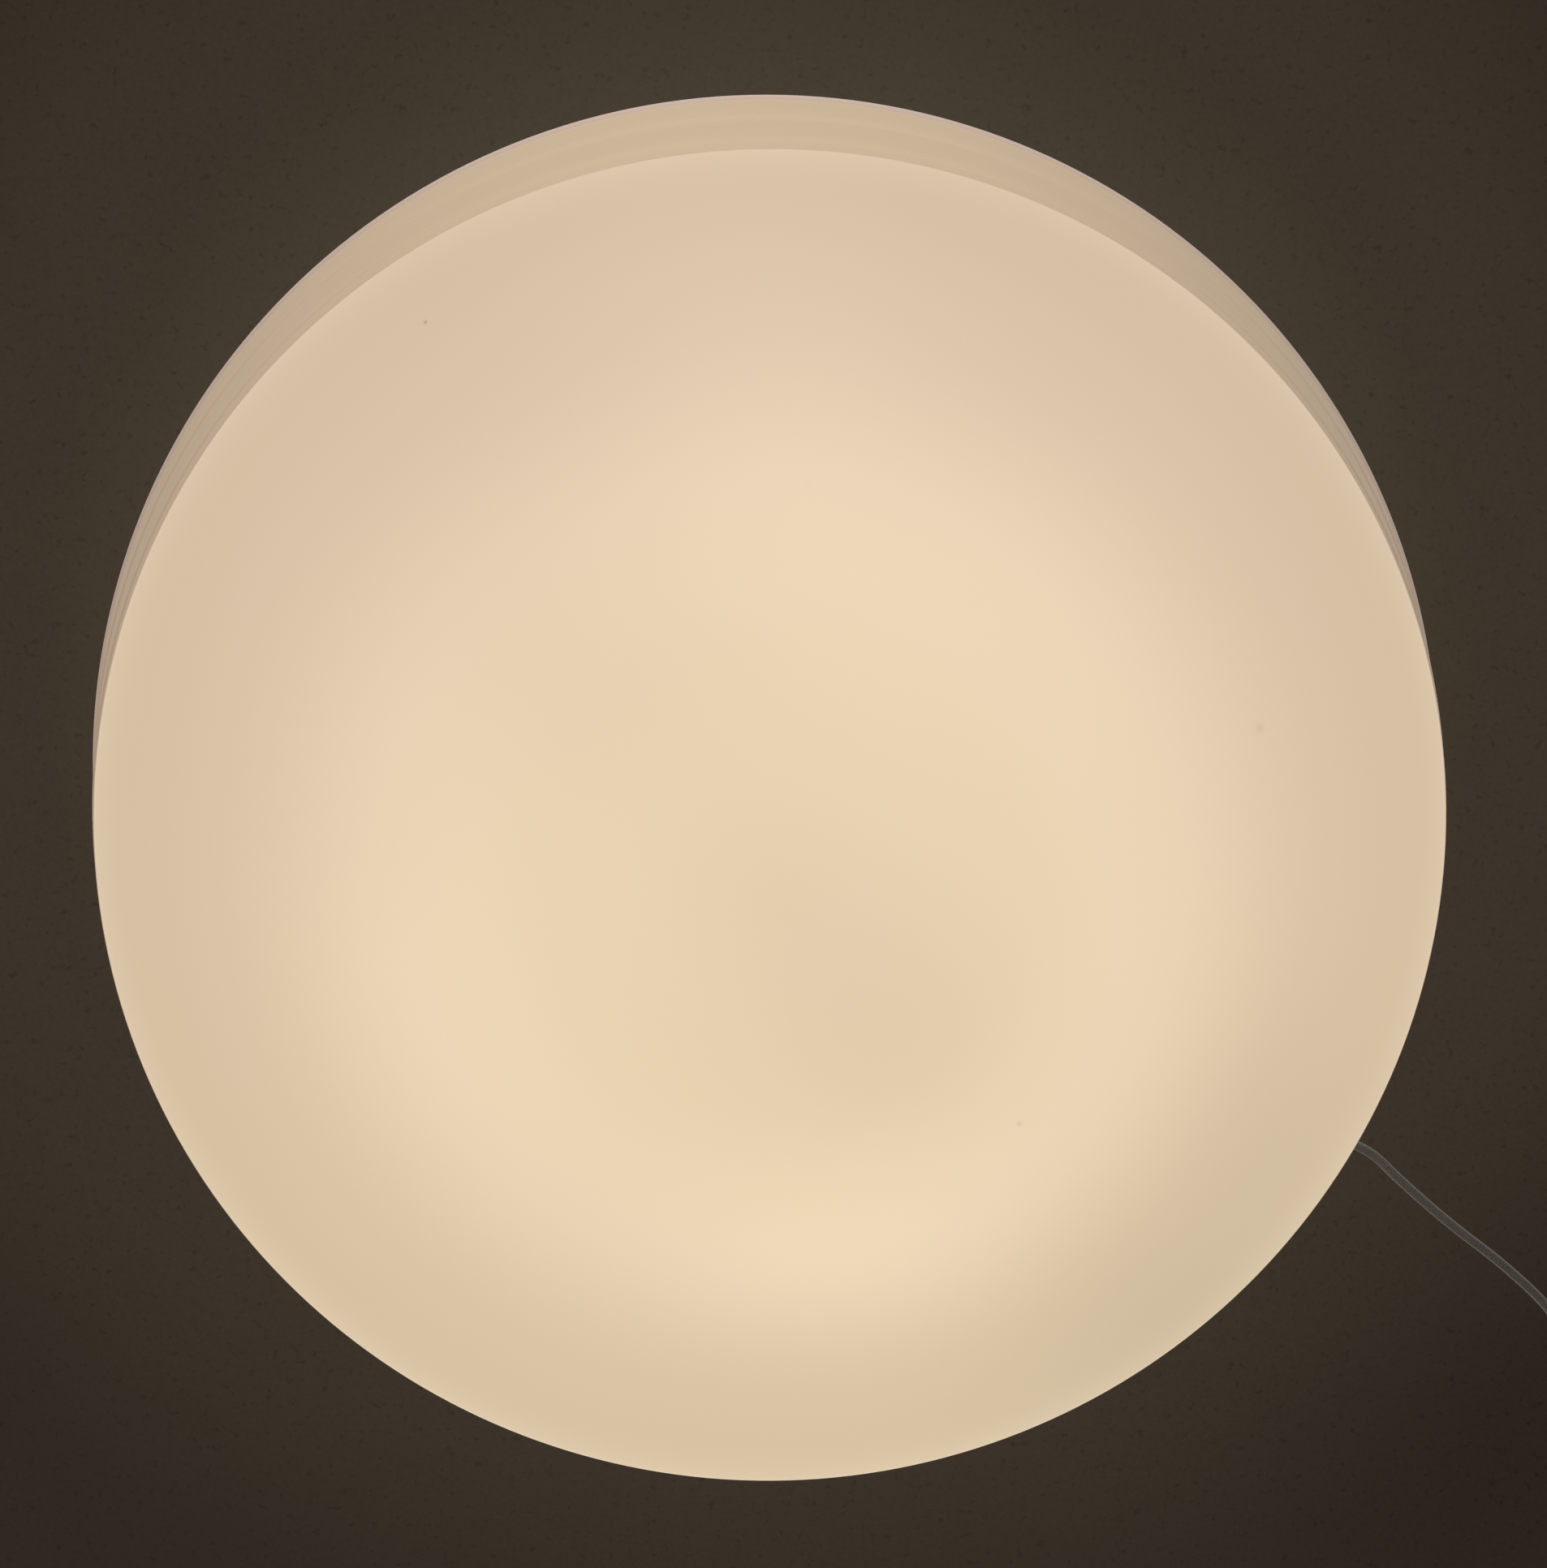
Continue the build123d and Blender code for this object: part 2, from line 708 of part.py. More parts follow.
with BuildPart() as holder_nuts:
    for angle in bulb_angles:
        with BuildSketch(radial_plane(angle, hub_inradius - hub_wall, bulb_level)):
            RegularPolygon(hex_width / 2, 6, major_radius=False)
            Circle(stem_radius + bore_clearance, mode=Mode.SUBTRACT)
        extrude(amount=-nut_height + 1.0)
save(holder_nuts, "holder_nuts")

# Bulbs: a threaded cap, a skirt and a hollow globe each
globe_centre = bulb_tip - globe_radius
shell_start = bulb_base + 6.0
shell_end = shell_start + thread_pitch * thread_turns
skirt_start = shell_end + 2.6
skirt_end = skirt_start + skirt_length
skirt_edge = math.sqrt(globe_radius**2 - (globe_centre - skirt_end) ** 2)
inner_globe = globe_radius - globe_wall
inner_edge = math.sqrt(inner_globe**2 - (globe_centre - skirt_end) ** 2)
for number, angle in enumerate(bulb_angles, start=1):
    plane = side_plane(angle, bulb_level)
    axis = outward_axis(angle, bulb_level)
    thread_points = [(shell_start, cap_thread_radius - thread_depth)]
    for turn in range(thread_turns):
        thread_points.append((shell_start + (turn + 0.5) * thread_pitch, cap_thread_radius))
        thread_points.append((shell_start + (turn + 1) * thread_pitch, cap_thread_radius - thread_depth))
    with BuildPart() as bulb_cap:
        with BuildSketch(plane):
            with BuildLine():
                Polyline(
                    (bulb_base, 0),
                    (bulb_base, 4.0),
                    (bulb_base + 1.5, 4.8),
                    (bulb_base + 4.0, 9.5),
                    *thread_points,
                    (shell_end, collar_radius - 0.6),
                    (skirt_start, collar_radius - 0.6),
                    (skirt_start, 0),
                    close=True,
                )
            make_face()
        revolve(axis=axis)
    save(bulb_cap, f"bulb_{number}_cap")
    with BuildPart() as bulb_skirt:
        with BuildSketch(plane):
            with BuildLine():
                Line((skirt_start, 0), (skirt_start, collar_radius))
                Line((skirt_start, collar_radius), (skirt_start + 3.0, collar_radius))
                Spline(
                    (skirt_start + 3.0, collar_radius),
                    (skirt_start + 0.45 * skirt_length, collar_radius + 3.6),
                    (skirt_end, skirt_edge),
                    tangents=[(1, 0), (1, 0.62)],
                )
                Line((skirt_end, skirt_edge), (skirt_end, 0))
                Line((skirt_end, 0), (skirt_start, 0))
            make_face()
        revolve(axis=axis)
    save(bulb_skirt, f"bulb_{number}_skirt")
    with BuildPart() as bulb_globe:
        side = math.sqrt(0.5)
        with BuildSketch(plane):
            with BuildLine():
                ThreePointArc(
                    (skirt_end, skirt_edge),
                    (globe_centre + side * globe_radius, side * globe_radius),
                    (bulb_tip, 0),
                )
                Line((bulb_tip, 0), (bulb_tip - globe_wall, 0))
                ThreePointArc(
                    (bulb_tip - globe_wall, 0),
                    (globe_centre + side * inner_globe, side * inner_globe),
                    (skirt_end, inner_edge),
                )
                Line((skirt_end, inner_edge), (skirt_end, skirt_edge))
            make_face()
        revolve(axis=axis)
    save(bulb_globe, f"bulb_{number}_globe")

# Hanging flex between the suspension cup and the lamp, with rounded ends at its pivots
with BuildPart() as drop_flex:
    with BuildSketch(Plane.XY.offset(lamp_pivot_level)):
        Circle(flex_radius)
    extrude(amount=exit_pivot_level - lamp_pivot_level)
    with Locations((0, 0, lamp_pivot_level), (0, 0, exit_pivot_level)):
        Sphere(flex_radius)
save(drop_flex, "drop_flex")

# Suspension base: the plate on the ceiling that carries the lamp
with BuildPart() as suspension_base:
    with BuildSketch(Plane.XY):
        Circle(base_radius)
    extrude(amount=-base_wall)
    with BuildSketch(Plane.XY.offset(-base_wall)):
        Circle(base_radius)
        Circle(base_radius - base_ring_wall, mode=Mode.SUBTRACT)
    extrude(amount=-base_ring_height)
    for x in (-base_hole_spacing / 2, base_hole_spacing / 2):
        with BuildSketch(Plane.XY):
            with Locations((x, 0)):
                Circle(base_hole_radius)
        extrude(amount=-base_wall, mode=Mode.SUBTRACT)
        with Locations(Location((x, 0, -base_wall + base_sink_depth / 2))):
            Cone(base_sink_radius, base_hole_radius, base_sink_depth, mode=Mode.SUBTRACT)
    with BuildSketch(radial_plane(cord_angle, 0, 0)):
        with Locations((0, -(base_wall + cord_slot_depth) / 2 - 0.3)):
            Rectangle(cord_slot_width, cord_slot_depth - base_wall + 0.6)
    extrude(amount=base_radius + 1.0, mode=Mode.SUBTRACT)
    for turn in (90.0, -90.0):
        with BuildSketch(radial_plane(cord_angle + turn, 0, -base_wall - base_ring_height / 2)):
            Circle(side_screw_radius)
        extrude(amount=base_radius + 1.0, mode=Mode.SUBTRACT)
save(suspension_base, "suspension_base")

# Suspension cup that hides the base and holds the exit grip
cup_inner = base_radius + cup_fit
cup_radius = cup_inner + cup_wall
with BuildPart() as suspension_cup:
    with BuildSketch(Plane.XZ) as cup_section:
        with BuildLine():
            Polyline(
                (exit_tail_radius + bore_clearance, -cup_depth),
                (cup_radius, -cup_depth),
                (cup_radius, -ceiling_gap),
                (cup_inner, -ceiling_gap),
                (cup_inner, -cup_depth + cup_wall),
                (exit_tail_radius + bore_clearance, -cup_depth + cup_wall),
                close=True,
            )
        make_face()
        outer_corner = cup_section.vertices().filter_by(
            lambda corner: abs(corner.X - cup_radius) < 0.01 and abs(corner.Y + cup_depth) < 0.01
        )
        fillet(outer_corner, cup_rounding)
        inner_corner = cup_section.vertices().filter_by(
            lambda corner: abs(corner.X - cup_inner) < 0.01 and abs(corner.Y + cup_depth - cup_wall) < 0.01
        )
        fillet(inner_corner, cup_rounding - cup_wall)
    revolve(axis=Axis.Z)
    with BuildSketch(radial_plane(cord_angle, 0, 0)):
        with Locations((0, -cord_slot_depth / 2)):
            Rectangle(cord_slot_width, cord_slot_depth)
    extrude(amount=cup_radius + 1.0, mode=Mode.SUBTRACT)
    for turn in (90.0, -90.0):
        with BuildSketch(radial_plane(cord_angle + turn, 0, -base_wall - base_ring_height / 2)):
            Circle(side_screw_radius)
        extrude(amount=cup_radius + 1.0, mode=Mode.SUBTRACT)
save(suspension_cup, "suspension_cup")

with BuildPart() as cup_screws:
    for turn in (90.0, -90.0):
        side_level = -base_wall - base_ring_height / 2
        with BuildSketch(radial_plane(cord_angle + turn, base_radius - base_ring_wall, side_level)):
            Circle(side_screw_radius)
        extrude(amount=cup_radius + cup_wall - base_radius + base_ring_wall)
        with BuildSketch(radial_plane(cord_angle + turn, cup_radius, side_level)):
            Circle(side_screw_head)
        extrude(amount=1.8)
        with BuildSketch(radial_plane(cord_angle + turn, cup_radius + 1.8, side_level)):
            Rectangle(2 * side_screw_head, 0.8)
        extrude(amount=-0.9, mode=Mode.SUBTRACT)
save(cup_screws, "cup_screws")

# Exit grip in the bottom of the cup: it holds the flex, with a flare above and a belled mouth below
exit_mouth_level = exit_pivot_level - bell_depth
exit_tail_top = -cup_depth + cup_wall + nut_height + 2.0
with BuildPart() as exit_grip:
    with BuildSketch(Plane.XZ):
        with BuildLine():
            Polyline(
                (flex_radius + bore_clearance, exit_tail_top - exit_flare_depth),
                (exit_tail_radius - exit_tail_wall, exit_tail_top),
                (exit_tail_radius, exit_tail_top),
                (exit_tail_radius, -cup_depth),
                (grip_radius, -cup_depth),
                (grip_radius, exit_mouth_level + 4.0),
                (bell_mouth + grip_wall - 1.0, exit_mouth_level),
                (bell_mouth, exit_mouth_level),
                (bell_throat, exit_pivot_level),
                (bell_throat, run_end_level),
                (flex_radius + bore_clearance, run_end_level + 1.0),
                close=True,
            )
        make_face()
    revolve(axis=Axis.Z)
    with BuildSketch(radial_plane(cord_angle, 0, -cup_depth - 6.0)):
        Circle(grip_screw_radius)
    extrude(amount=grip_radius + 1.0, mode=Mode.SUBTRACT)
save(exit_grip, "exit_grip")

with BuildPart() as exit_grip_screw:
    with BuildSketch(radial_plane(cord_angle, flex_radius + bore_clearance, -cup_depth - 6.0)):
        Circle(grip_screw_radius)
    extrude(amount=grip_radius - flex_radius)
    with BuildSketch(radial_plane(cord_angle, grip_radius + bore_clearance, -cup_depth - 6.0)):
        Rectangle(2 * grip_screw_radius, 0.6)
    extrude(amount=-1.0, mode=Mode.SUBTRACT)
save(exit_grip_screw, "exit_grip_screw")

with BuildPart() as exit_grip_nut:
    with BuildSketch(Plane.XY.offset(-cup_depth + cup_wall)):
        RegularPolygon(exit_hex_width / 2, 6, major_radius=False)
        Circle(exit_tail_radius + bore_clearance, mode=Mode.SUBTRACT)
    extrude(amount=nut_height)
save(exit_grip_nut, "exit_grip_nut")

# Flex along the ceiling
flex_ceiling_run, run_length = cord_solid(flex_route, flex_radius)
save(flex_ceiling_run, "flex_ceiling_run")

# Clips that hold the flex to the ceiling, each in the middle of its run, with a nail
saddle_radius = flex_radius + body_gap
saddle_half = saddle_radius + clip_wall
nail_offset = saddle_half + nail_head_radius + 0.2
clip_planes = []
for run in clip_runs:
    start = Vector(*flex_route[run])
    end = Vector(*flex_route[run + 1])
    middle = (start + end) * 0.5
    along = Vector(end.X - start.X, end.Y - start.Y, 0)
    across = Vector(0, 0, 1).cross(along)
    clip_planes.append((Plane(origin=(middle.X, middle.Y, 0), x_dir=across, z_dir=along), middle.Z))
with BuildPart() as flex_clips:
    for plane, depth in clip_planes:
        up = plane.to_local_coords(plane.origin + Vector(0, 0, 1)).Y
        with BuildSketch(plane):
            with Locations((0, up * depth / 2)):
                Rectangle(2 * saddle_half, -depth)
            with Locations((0, up * depth)):
                Circle(saddle_half)
            with Locations(((saddle_half + nail_offset) / 2, -up * 2.0)):
                Rectangle(nail_offset - saddle_half + 2 * nail_head_radius + 1.0, 4.0)
            with Locations((0, up * depth)):
                Circle(saddle_radius, mode=Mode.SUBTRACT)
            with Locations((0, up * depth / 2)):
                Rectangle(2 * saddle_radius, -depth, mode=Mode.SUBTRACT)
        extrude(amount=clip_length / 2, both=True)
        split(bisect_by=Plane.XY, keep=Keep.BOTTOM)
        nail_spot = plane.from_local_coords((nail_offset, 0, 0))
        with BuildSketch(Plane.XY):
            with Locations((nail_spot.X, nail_spot.Y)):
                Circle(nail_radius)
        extrude(amount=-6.0, mode=Mode.SUBTRACT)
save(flex_clips, "flex_clips")

with BuildPart() as clip_nails:
    for plane, depth in clip_planes:
        nail_spot = plane.from_local_coords((nail_offset, 0, 0))
        with BuildSketch(Plane.XY):
            with Locations((nail_spot.X, nail_spot.Y)):
                Circle(nail_radius)
        extrude(amount=-4.0)
        with BuildSketch(Plane.XY.offset(-4.0)):
            with Locations((nail_spot.X, nail_spot.Y)):
                Circle(nail_head_radius)
        extrude(amount=-0.8)
save(clip_nails, "clip_nails")

# Ceiling rose: a base plate with a ring, a terminal block, a cord clamp and a cover
rose_cord_angle = math.degrees(math.atan2(flex_route[-2][1] - rose_y, flex_route[-2][0] - rose_x))
with BuildPart() as rose_base:
    with BuildSketch(Plane.XY):
        with Locations((rose_x, rose_y)):
            Circle(rose_radius)
    extrude(amount=-rose_base_wall)
    with BuildSketch(Plane.XY.offset(-rose_base_wall)):
        with Locations((rose_x, rose_y)):
            Circle(rose_radius)
            Circle(rose_radius - rose_ring_wall, mode=Mode.SUBTRACT)
    extrude(amount=-rose_ring_height)
    with BuildSketch(Plane.XY):
        with Locations((rose_x, rose_y)):
            with GridLocations(rose_hole_spacing, 0, 2, 1):
                Circle(base_hole_radius)
    extrude(amount=-rose_base_wall, mode=Mode.SUBTRACT)
    cable_spot = radial_plane(rose_cord_angle, -house_cable_offset, 0, rose_x, rose_y).origin
    with BuildSketch(Plane.XY):
        with Locations((cable_spot.X, cable_spot.Y)):
            Circle(house_cable_radius)
    extrude(amount=-rose_base_wall, mode=Mode.SUBTRACT)
    with BuildSketch(radial_plane(rose_cord_angle, 0, 0, rose_x, rose_y)):
        with Locations((0, -rose_base_wall - rose_ring_height / 2)):
            Rectangle(cord_slot_width, rose_ring_height)
    extrude(amount=rose_radius + 1.0, mode=Mode.SUBTRACT)
save(rose_base, "rose_base")

block_plane = side_plane(rose_cord_angle, -rose_base_wall, rose_x, rose_y)
with BuildPart() as rose_terminal_block:
    with BuildSketch(Plane(origin=block_plane.origin, x_dir=block_plane.x_dir, z_dir=(0, 0, 1))):
        Rectangle(rose_block_width, rose_block_length)
    extrude(amount=-rose_block_height)
save(rose_terminal_block, "rose_terminal_block")

with BuildPart() as rose_terminal_screws:
    for way in range(rose_ways):
        spot = block_plane.from_local_coords((0, -rose_block_height, (way - 1) * rose_way_pitch))
        with BuildSketch(Plane.XY.offset(-rose_base_wall - rose_block_height)):
            with Locations((spot.X, spot.Y)):
                Circle(side_screw_head - 0.5)
        extrude(amount=-1.2)
save(rose_terminal_screws, "rose_terminal_screws")

# Clamp bar over the flex in the rose, with its two screws into the base
clamp_level = flex_route[-1][2] - flex_radius - bore_clearance
clamp_distance = Vector(flex_route[-1][0] - rose_x, flex_route[-1][1] - rose_y, 0).length + 5.5
clamp_plane = radial_plane(rose_cord_angle, clamp_distance, clamp_level, rose_x, rose_y)
clamp_floor = Plane(origin=clamp_plane.origin, x_dir=clamp_plane.x_dir, z_dir=(0, 0, -1))
with BuildPart() as rose_cord_clamp:
    with BuildSketch(clamp_floor):
        Rectangle(clamp_bar_length, clamp_bar_width)
        with GridLocations(clamp_screw_spacing, 0, 2, 1):
            Circle(side_screw_radius, mode=Mode.SUBTRACT)
    extrude(amount=clamp_bar_wall)
save(rose_cord_clamp, "rose_cord_clamp")

with BuildPart() as rose_clamp_screws:
    with BuildSketch(clamp_floor.offset(clamp_bar_wall)):
        with GridLocations(clamp_screw_spacing, 0, 2, 1):
            Circle(side_screw_head)
    extrude(amount=1.8)
    with BuildSketch(clamp_floor.offset(clamp_bar_wall)):
        with GridLocations(clamp_screw_spacing, 0, 2, 1):
            Circle(side_screw_radius)
    extrude(amount=clamp_level + rose_base_wall - clamp_bar_wall)
save(rose_clamp_screws, "rose_clamp_screws")

# Three cores from the end of the flex to the terminal block
flex_end = Vector(*flex_route[-1])
for way, name in enumerate(("live", "earth", "neutral")):
    landing = block_plane.from_local_coords(
        (rose_block_width / 2, -rose_block_height / 2, (way - 1) * rose_way_pitch)
    )
    across = block_plane.z_dir * ((way - 1) * 1.4)
    leaving = flex_end + across
    span = landing - leaving
    short = span.normalized() * core_radius
    save(straight_wire(leaving + short, landing - short, core_radius * 0.75), f"rose_core_{name}")

rose_cover_inner = rose_radius + rose_cover_fit
rose_cover_radius = rose_cover_inner + rose_cover_wall
with BuildPart() as rose_cover:
    with BuildSketch(Plane.XZ.offset(-rose_y)) as rose_section:
        with BuildLine():
            Polyline(
                (rose_x, -rose_cover_depth),
                (rose_x + rose_cover_radius, -rose_cover_depth),
                (rose_x + rose_cover_radius, -ceiling_gap),
                (rose_x + rose_cover_inner, -ceiling_gap),
                (rose_x + rose_cover_inner, -rose_cover_depth + rose_cover_wall),
                (rose_x, -rose_cover_depth + rose_cover_wall),
                close=True,
            )
        make_face()
        outer_corner = rose_section.vertices().filter_by(
            lambda corner: abs(corner.X - rose_x - rose_cover_radius) < 0.01
            and abs(corner.Y + rose_cover_depth) < 0.01
        )
        fillet(outer_corner, rose_cover_rounding)
        inner_corner = rose_section.vertices().filter_by(
            lambda corner: abs(corner.X - rose_x - rose_cover_inner) < 0.01
            and abs(corner.Y + rose_cover_depth - rose_cover_wall) < 0.01
        )
        fillet(inner_corner, rose_cover_rounding - rose_cover_wall)
    revolve(axis=Axis((rose_x, rose_y, 0), (0, 0, 1)))
    with BuildSketch(radial_plane(rose_cord_angle, 0, 0, rose_x, rose_y)):
        with Locations((0, -cord_slot_depth / 2)):
            Rectangle(cord_slot_width, cord_slot_depth)
    extrude(amount=rose_cover_radius + 1.0, mode=Mode.SUBTRACT)
save(rose_cover, "rose_cover")

run_area = math.pi * flex_radius**2
run_volume = flex_ceiling_run.part.volume
print("nodes", node_count)
print("flex radii", [round(radius, 1) for radius in route_radii(flex_route)])
print("flex run length", round(run_length, 1))
print("flex volume over section times length", round(run_volume / (run_area * run_length), 4))
print("house cable hole", round(cable_spot.X, 3), round(cable_spot.Y, 3))
print("pivot levels", round(exit_pivot_level, 2), round(lamp_pivot_level, 2))
print("neck and pan levels", round(neck_top_level, 2), round(pan_level, 2))
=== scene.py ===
import json
import math

import bmesh
import bpy
from bpy.props import FloatProperty, FloatVectorProperty, IntProperty, PointerProperty
from bpy.types import Operator, Panel, PropertyGroup
from mathutils import Matrix, Vector


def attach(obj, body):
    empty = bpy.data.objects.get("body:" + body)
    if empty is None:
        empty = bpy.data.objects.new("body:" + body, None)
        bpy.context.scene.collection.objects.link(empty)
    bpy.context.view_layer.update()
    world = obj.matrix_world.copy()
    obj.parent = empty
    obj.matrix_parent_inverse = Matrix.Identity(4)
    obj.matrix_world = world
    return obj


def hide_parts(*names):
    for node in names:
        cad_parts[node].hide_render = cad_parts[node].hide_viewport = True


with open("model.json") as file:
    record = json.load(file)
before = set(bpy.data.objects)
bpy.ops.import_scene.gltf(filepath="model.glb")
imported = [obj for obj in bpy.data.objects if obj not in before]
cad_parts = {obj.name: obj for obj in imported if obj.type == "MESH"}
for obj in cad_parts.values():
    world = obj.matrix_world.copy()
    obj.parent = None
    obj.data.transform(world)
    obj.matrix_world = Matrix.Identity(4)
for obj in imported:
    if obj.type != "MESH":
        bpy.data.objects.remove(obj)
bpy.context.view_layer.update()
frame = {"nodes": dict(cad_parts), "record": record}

bl_info = {
    "name": "Opaline pendant light",
    "version": (1, 0, 0),
    "blender": (4, 5, 0),
    "location": "3D View > Sidebar > Pendant",
    "description": "Dresses the packed pendant light: opal shade, flex, ceiling fittings, bulbs and stage",
    "category": "Object",
}

MM = 0.001
MERGED = 0.000002  # points nearer than this are one
SHARP = math.radians(35.0)  # a CAD node's edges past this stay sharp

# Levels and radii that several pieces share, in metres, as the frame has them
SHADE_RIM_LEVEL = -0.446
PAN_LEVEL = -0.2912
PAN_WALL = 0.0012
BULB_LEVEL = -0.380
BULB_ANGLES = (72.0, 192.0, 312.0)
SPRING_ANGLES = (12.0, 132.0, 252.0)
EXIT_PIVOT_LEVEL = -0.068
LAMP_PIVOT_LEVEL = -0.258
CAP_TOP_LEVEL = -0.274
HUB_INRADIUS = 0.029
BULB_BASE = 0.044
BULB_TIP = 0.152
HOLDER_MOUTH = 0.076
ROSE_CENTRE = (0.466, 0.380)
CORD_ANGLE = 38.96

# The flex's route under the ceiling, in metres: out of the cup, past two clips and into the rose.
# Where the photo shows it, it wanders from the solid's route by up to 7 mm.
FLEX_ROUTE = (
    (0.0, 0.0, -0.0648),
    (0.0, 0.0, -0.036),
    (0.0125, 0.0101, -0.0105),
    (0.047, 0.038, -0.0082),
    (0.093, 0.074, -0.0047),
    (0.137, 0.1095, -0.0042),
    (0.182, 0.146, -0.005),
    (0.226, 0.1815, -0.0053),
    (0.268, 0.214, -0.0043),
    (0.296, 0.2365, -0.0042),
    (0.3185, 0.244, -0.005),
    (0.333, 0.259, -0.0054),
    (0.362, 0.2845, -0.0058),
    (0.390, 0.3055, -0.0062),
    (0.4165, 0.330, -0.0070),
    (0.424, 0.3442, -0.0075),
    (0.443, 0.3605, -0.008),
)


# ---------------------------------------------------------------- sizes and colours


def length(name, description, default):
    """A length in metres that a user may change."""
    return FloatProperty(name=name, description=description, default=default, unit="LENGTH", subtype="DISTANCE")


def colour(name, description, default):
    """A linear colour that a user may change."""
    return FloatVectorProperty(
        name=name, description=description, default=default, subtype="COLOR", size=3, min=0.0, max=1.0
    )


class ShadeSettings(PropertyGroup):
    """Sizes and looks of the opal glass shade."""

    rim_radius: length("Rim radius", "Radius of the crease between the face and the wall", 0.220)
    lip_radius: length("Lip radius", "Radius of the widest circle", 0.250)
    wall_height: length("Wall height", "Height of the flaring wall", 0.120)
    dome_depth: length("Dome depth", "How far the face domes below the rim", 0.080)
    glass_wall: length("Glass", "Thickness of the glass", 0.003)
    crease: length("Crease", "Rounding between the face and the wall", 0.004)
    neck_radius: length("Neck radius", "Inner radius of the neck", 0.160)
    segments: IntProperty(name="Segments", description="Steps round the glass", default=256, min=48)
    glass: colour("Glass", "Colour of the unlit glass", (0.40, 0.385, 0.36))
    roughness: FloatProperty(
        name="Roughness", description="Of the satin glass", default=0.38, min=0.0, max=1.0, subtype="FACTOR"
    )


class FlexSettings(PropertyGroup):
    """Size and colour of the lamp's flex."""

    diameter: length("Diameter", "Over the sheath", 0.005)
    run: length("Ceiling run", "Length from the cup to the rose", 0.6116)
    # Painted shade: the sheath is given a darker, browner colour than white PVC, for the dim light under the
    # ceiling
    sheath: colour("Sheath", "Colour of the sheath", (0.405, 0.352, 0.298))


class FittingSettings(PropertyGroup):
    """Sizes and looks of the metal and plastic fittings."""

    enamel: colour("Enamel", "Colour of the enamelled steel", (0.78, 0.77, 0.73))
    nylon: colour("Nylon", "Colour of the cord grips", (0.74, 0.73, 0.69))
    vents: IntProperty(name="Vents", description="Holes round the gallery pan", default=12, min=3)
    vent_radius: length("Vent radius", "Radius of each hole", 0.004)
    vent_circle: length("Vent circle", "Radius of the circle of holes", 0.078)
    stem_pitch: length("Stem pitch", "Pitch of the stem's thread", 0.001)


class BulbSettings(PropertyGroup):
    """Looks of the bulbs."""

    glow: colour("Glow", "Colour of a lit globe", (0.95, 0.80, 0.56))
    cap_pitch: length("Cap pitch", "Pitch of the rolled cap thread", 0.0036)
    fins: IntProperty(name="Fins", description="Fins round a bulb's skirt", default=36, min=8)


class StageSettings(PropertyGroup):
    """The ceiling, the floor and the light."""

    # Painted light: the ceiling beside the lamp gets a brighter colour, a painted pool of the lamp's glow
    ceiling_painted_glow: colour("Ceiling near", "Ceiling beside the lamp", (0.066, 0.051, 0.034))
    ceiling_far: colour("Ceiling far", "Ceiling away from the lamp", (0.031, 0.021, 0.0155))
    floor: colour("Floor", "Colour of the floor", (0.74, 0.73, 0.71))
    floor_level: length("Floor level", "Height of the floor", -2.4)
    sky: FloatProperty(name="Light from above", description="Strength of the upper half", default=0.9, min=0.0)
    horizon: FloatProperty(name="Light from the sides", description="Strength at eye level", default=0.22, min=0.0)
    lamp_power: FloatProperty(
        name="Soft lamp", description="Power of each soft lamp", default=17.0, min=0.0, unit="POWER"
    )
    lens: FloatProperty(name="Lens", description="Focal length on a 36 mm sensor", default=55.90, min=10.0)


# ---------------------------------------------------------------- node sheets


def arithmetic(operation, reflected=False):
    """An operator of Value, which adds a Math node."""

    def worked_out(self, other):
        return self.sheet.maths(operation, *((other, self) if reflected else (self, other)))

    return worked_out


class Value:
    """A node's output, on which the sums of a material or a shape are written as plain arithmetic."""

    def __init__(self, sheet, node, output=0):
        self.sheet = sheet
        self.node = node
        self.socket = node.outputs[output] if len(node.outputs) else None

    def pick(self, output):
        """Another output of the same node."""
        return Value(self.sheet, self.node, output)

    __add__ = __radd__ = arithmetic("ADD")
    __sub__ = arithmetic("SUBTRACT")
    __rsub__ = arithmetic("SUBTRACT", reflected=True)
    __mul__ = __rmul__ = arithmetic("MULTIPLY")
    __truediv__ = arithmetic("DIVIDE")
    __pow__ = arithmetic("POWER")
    __gt__ = arithmetic("GREATER_THAN")


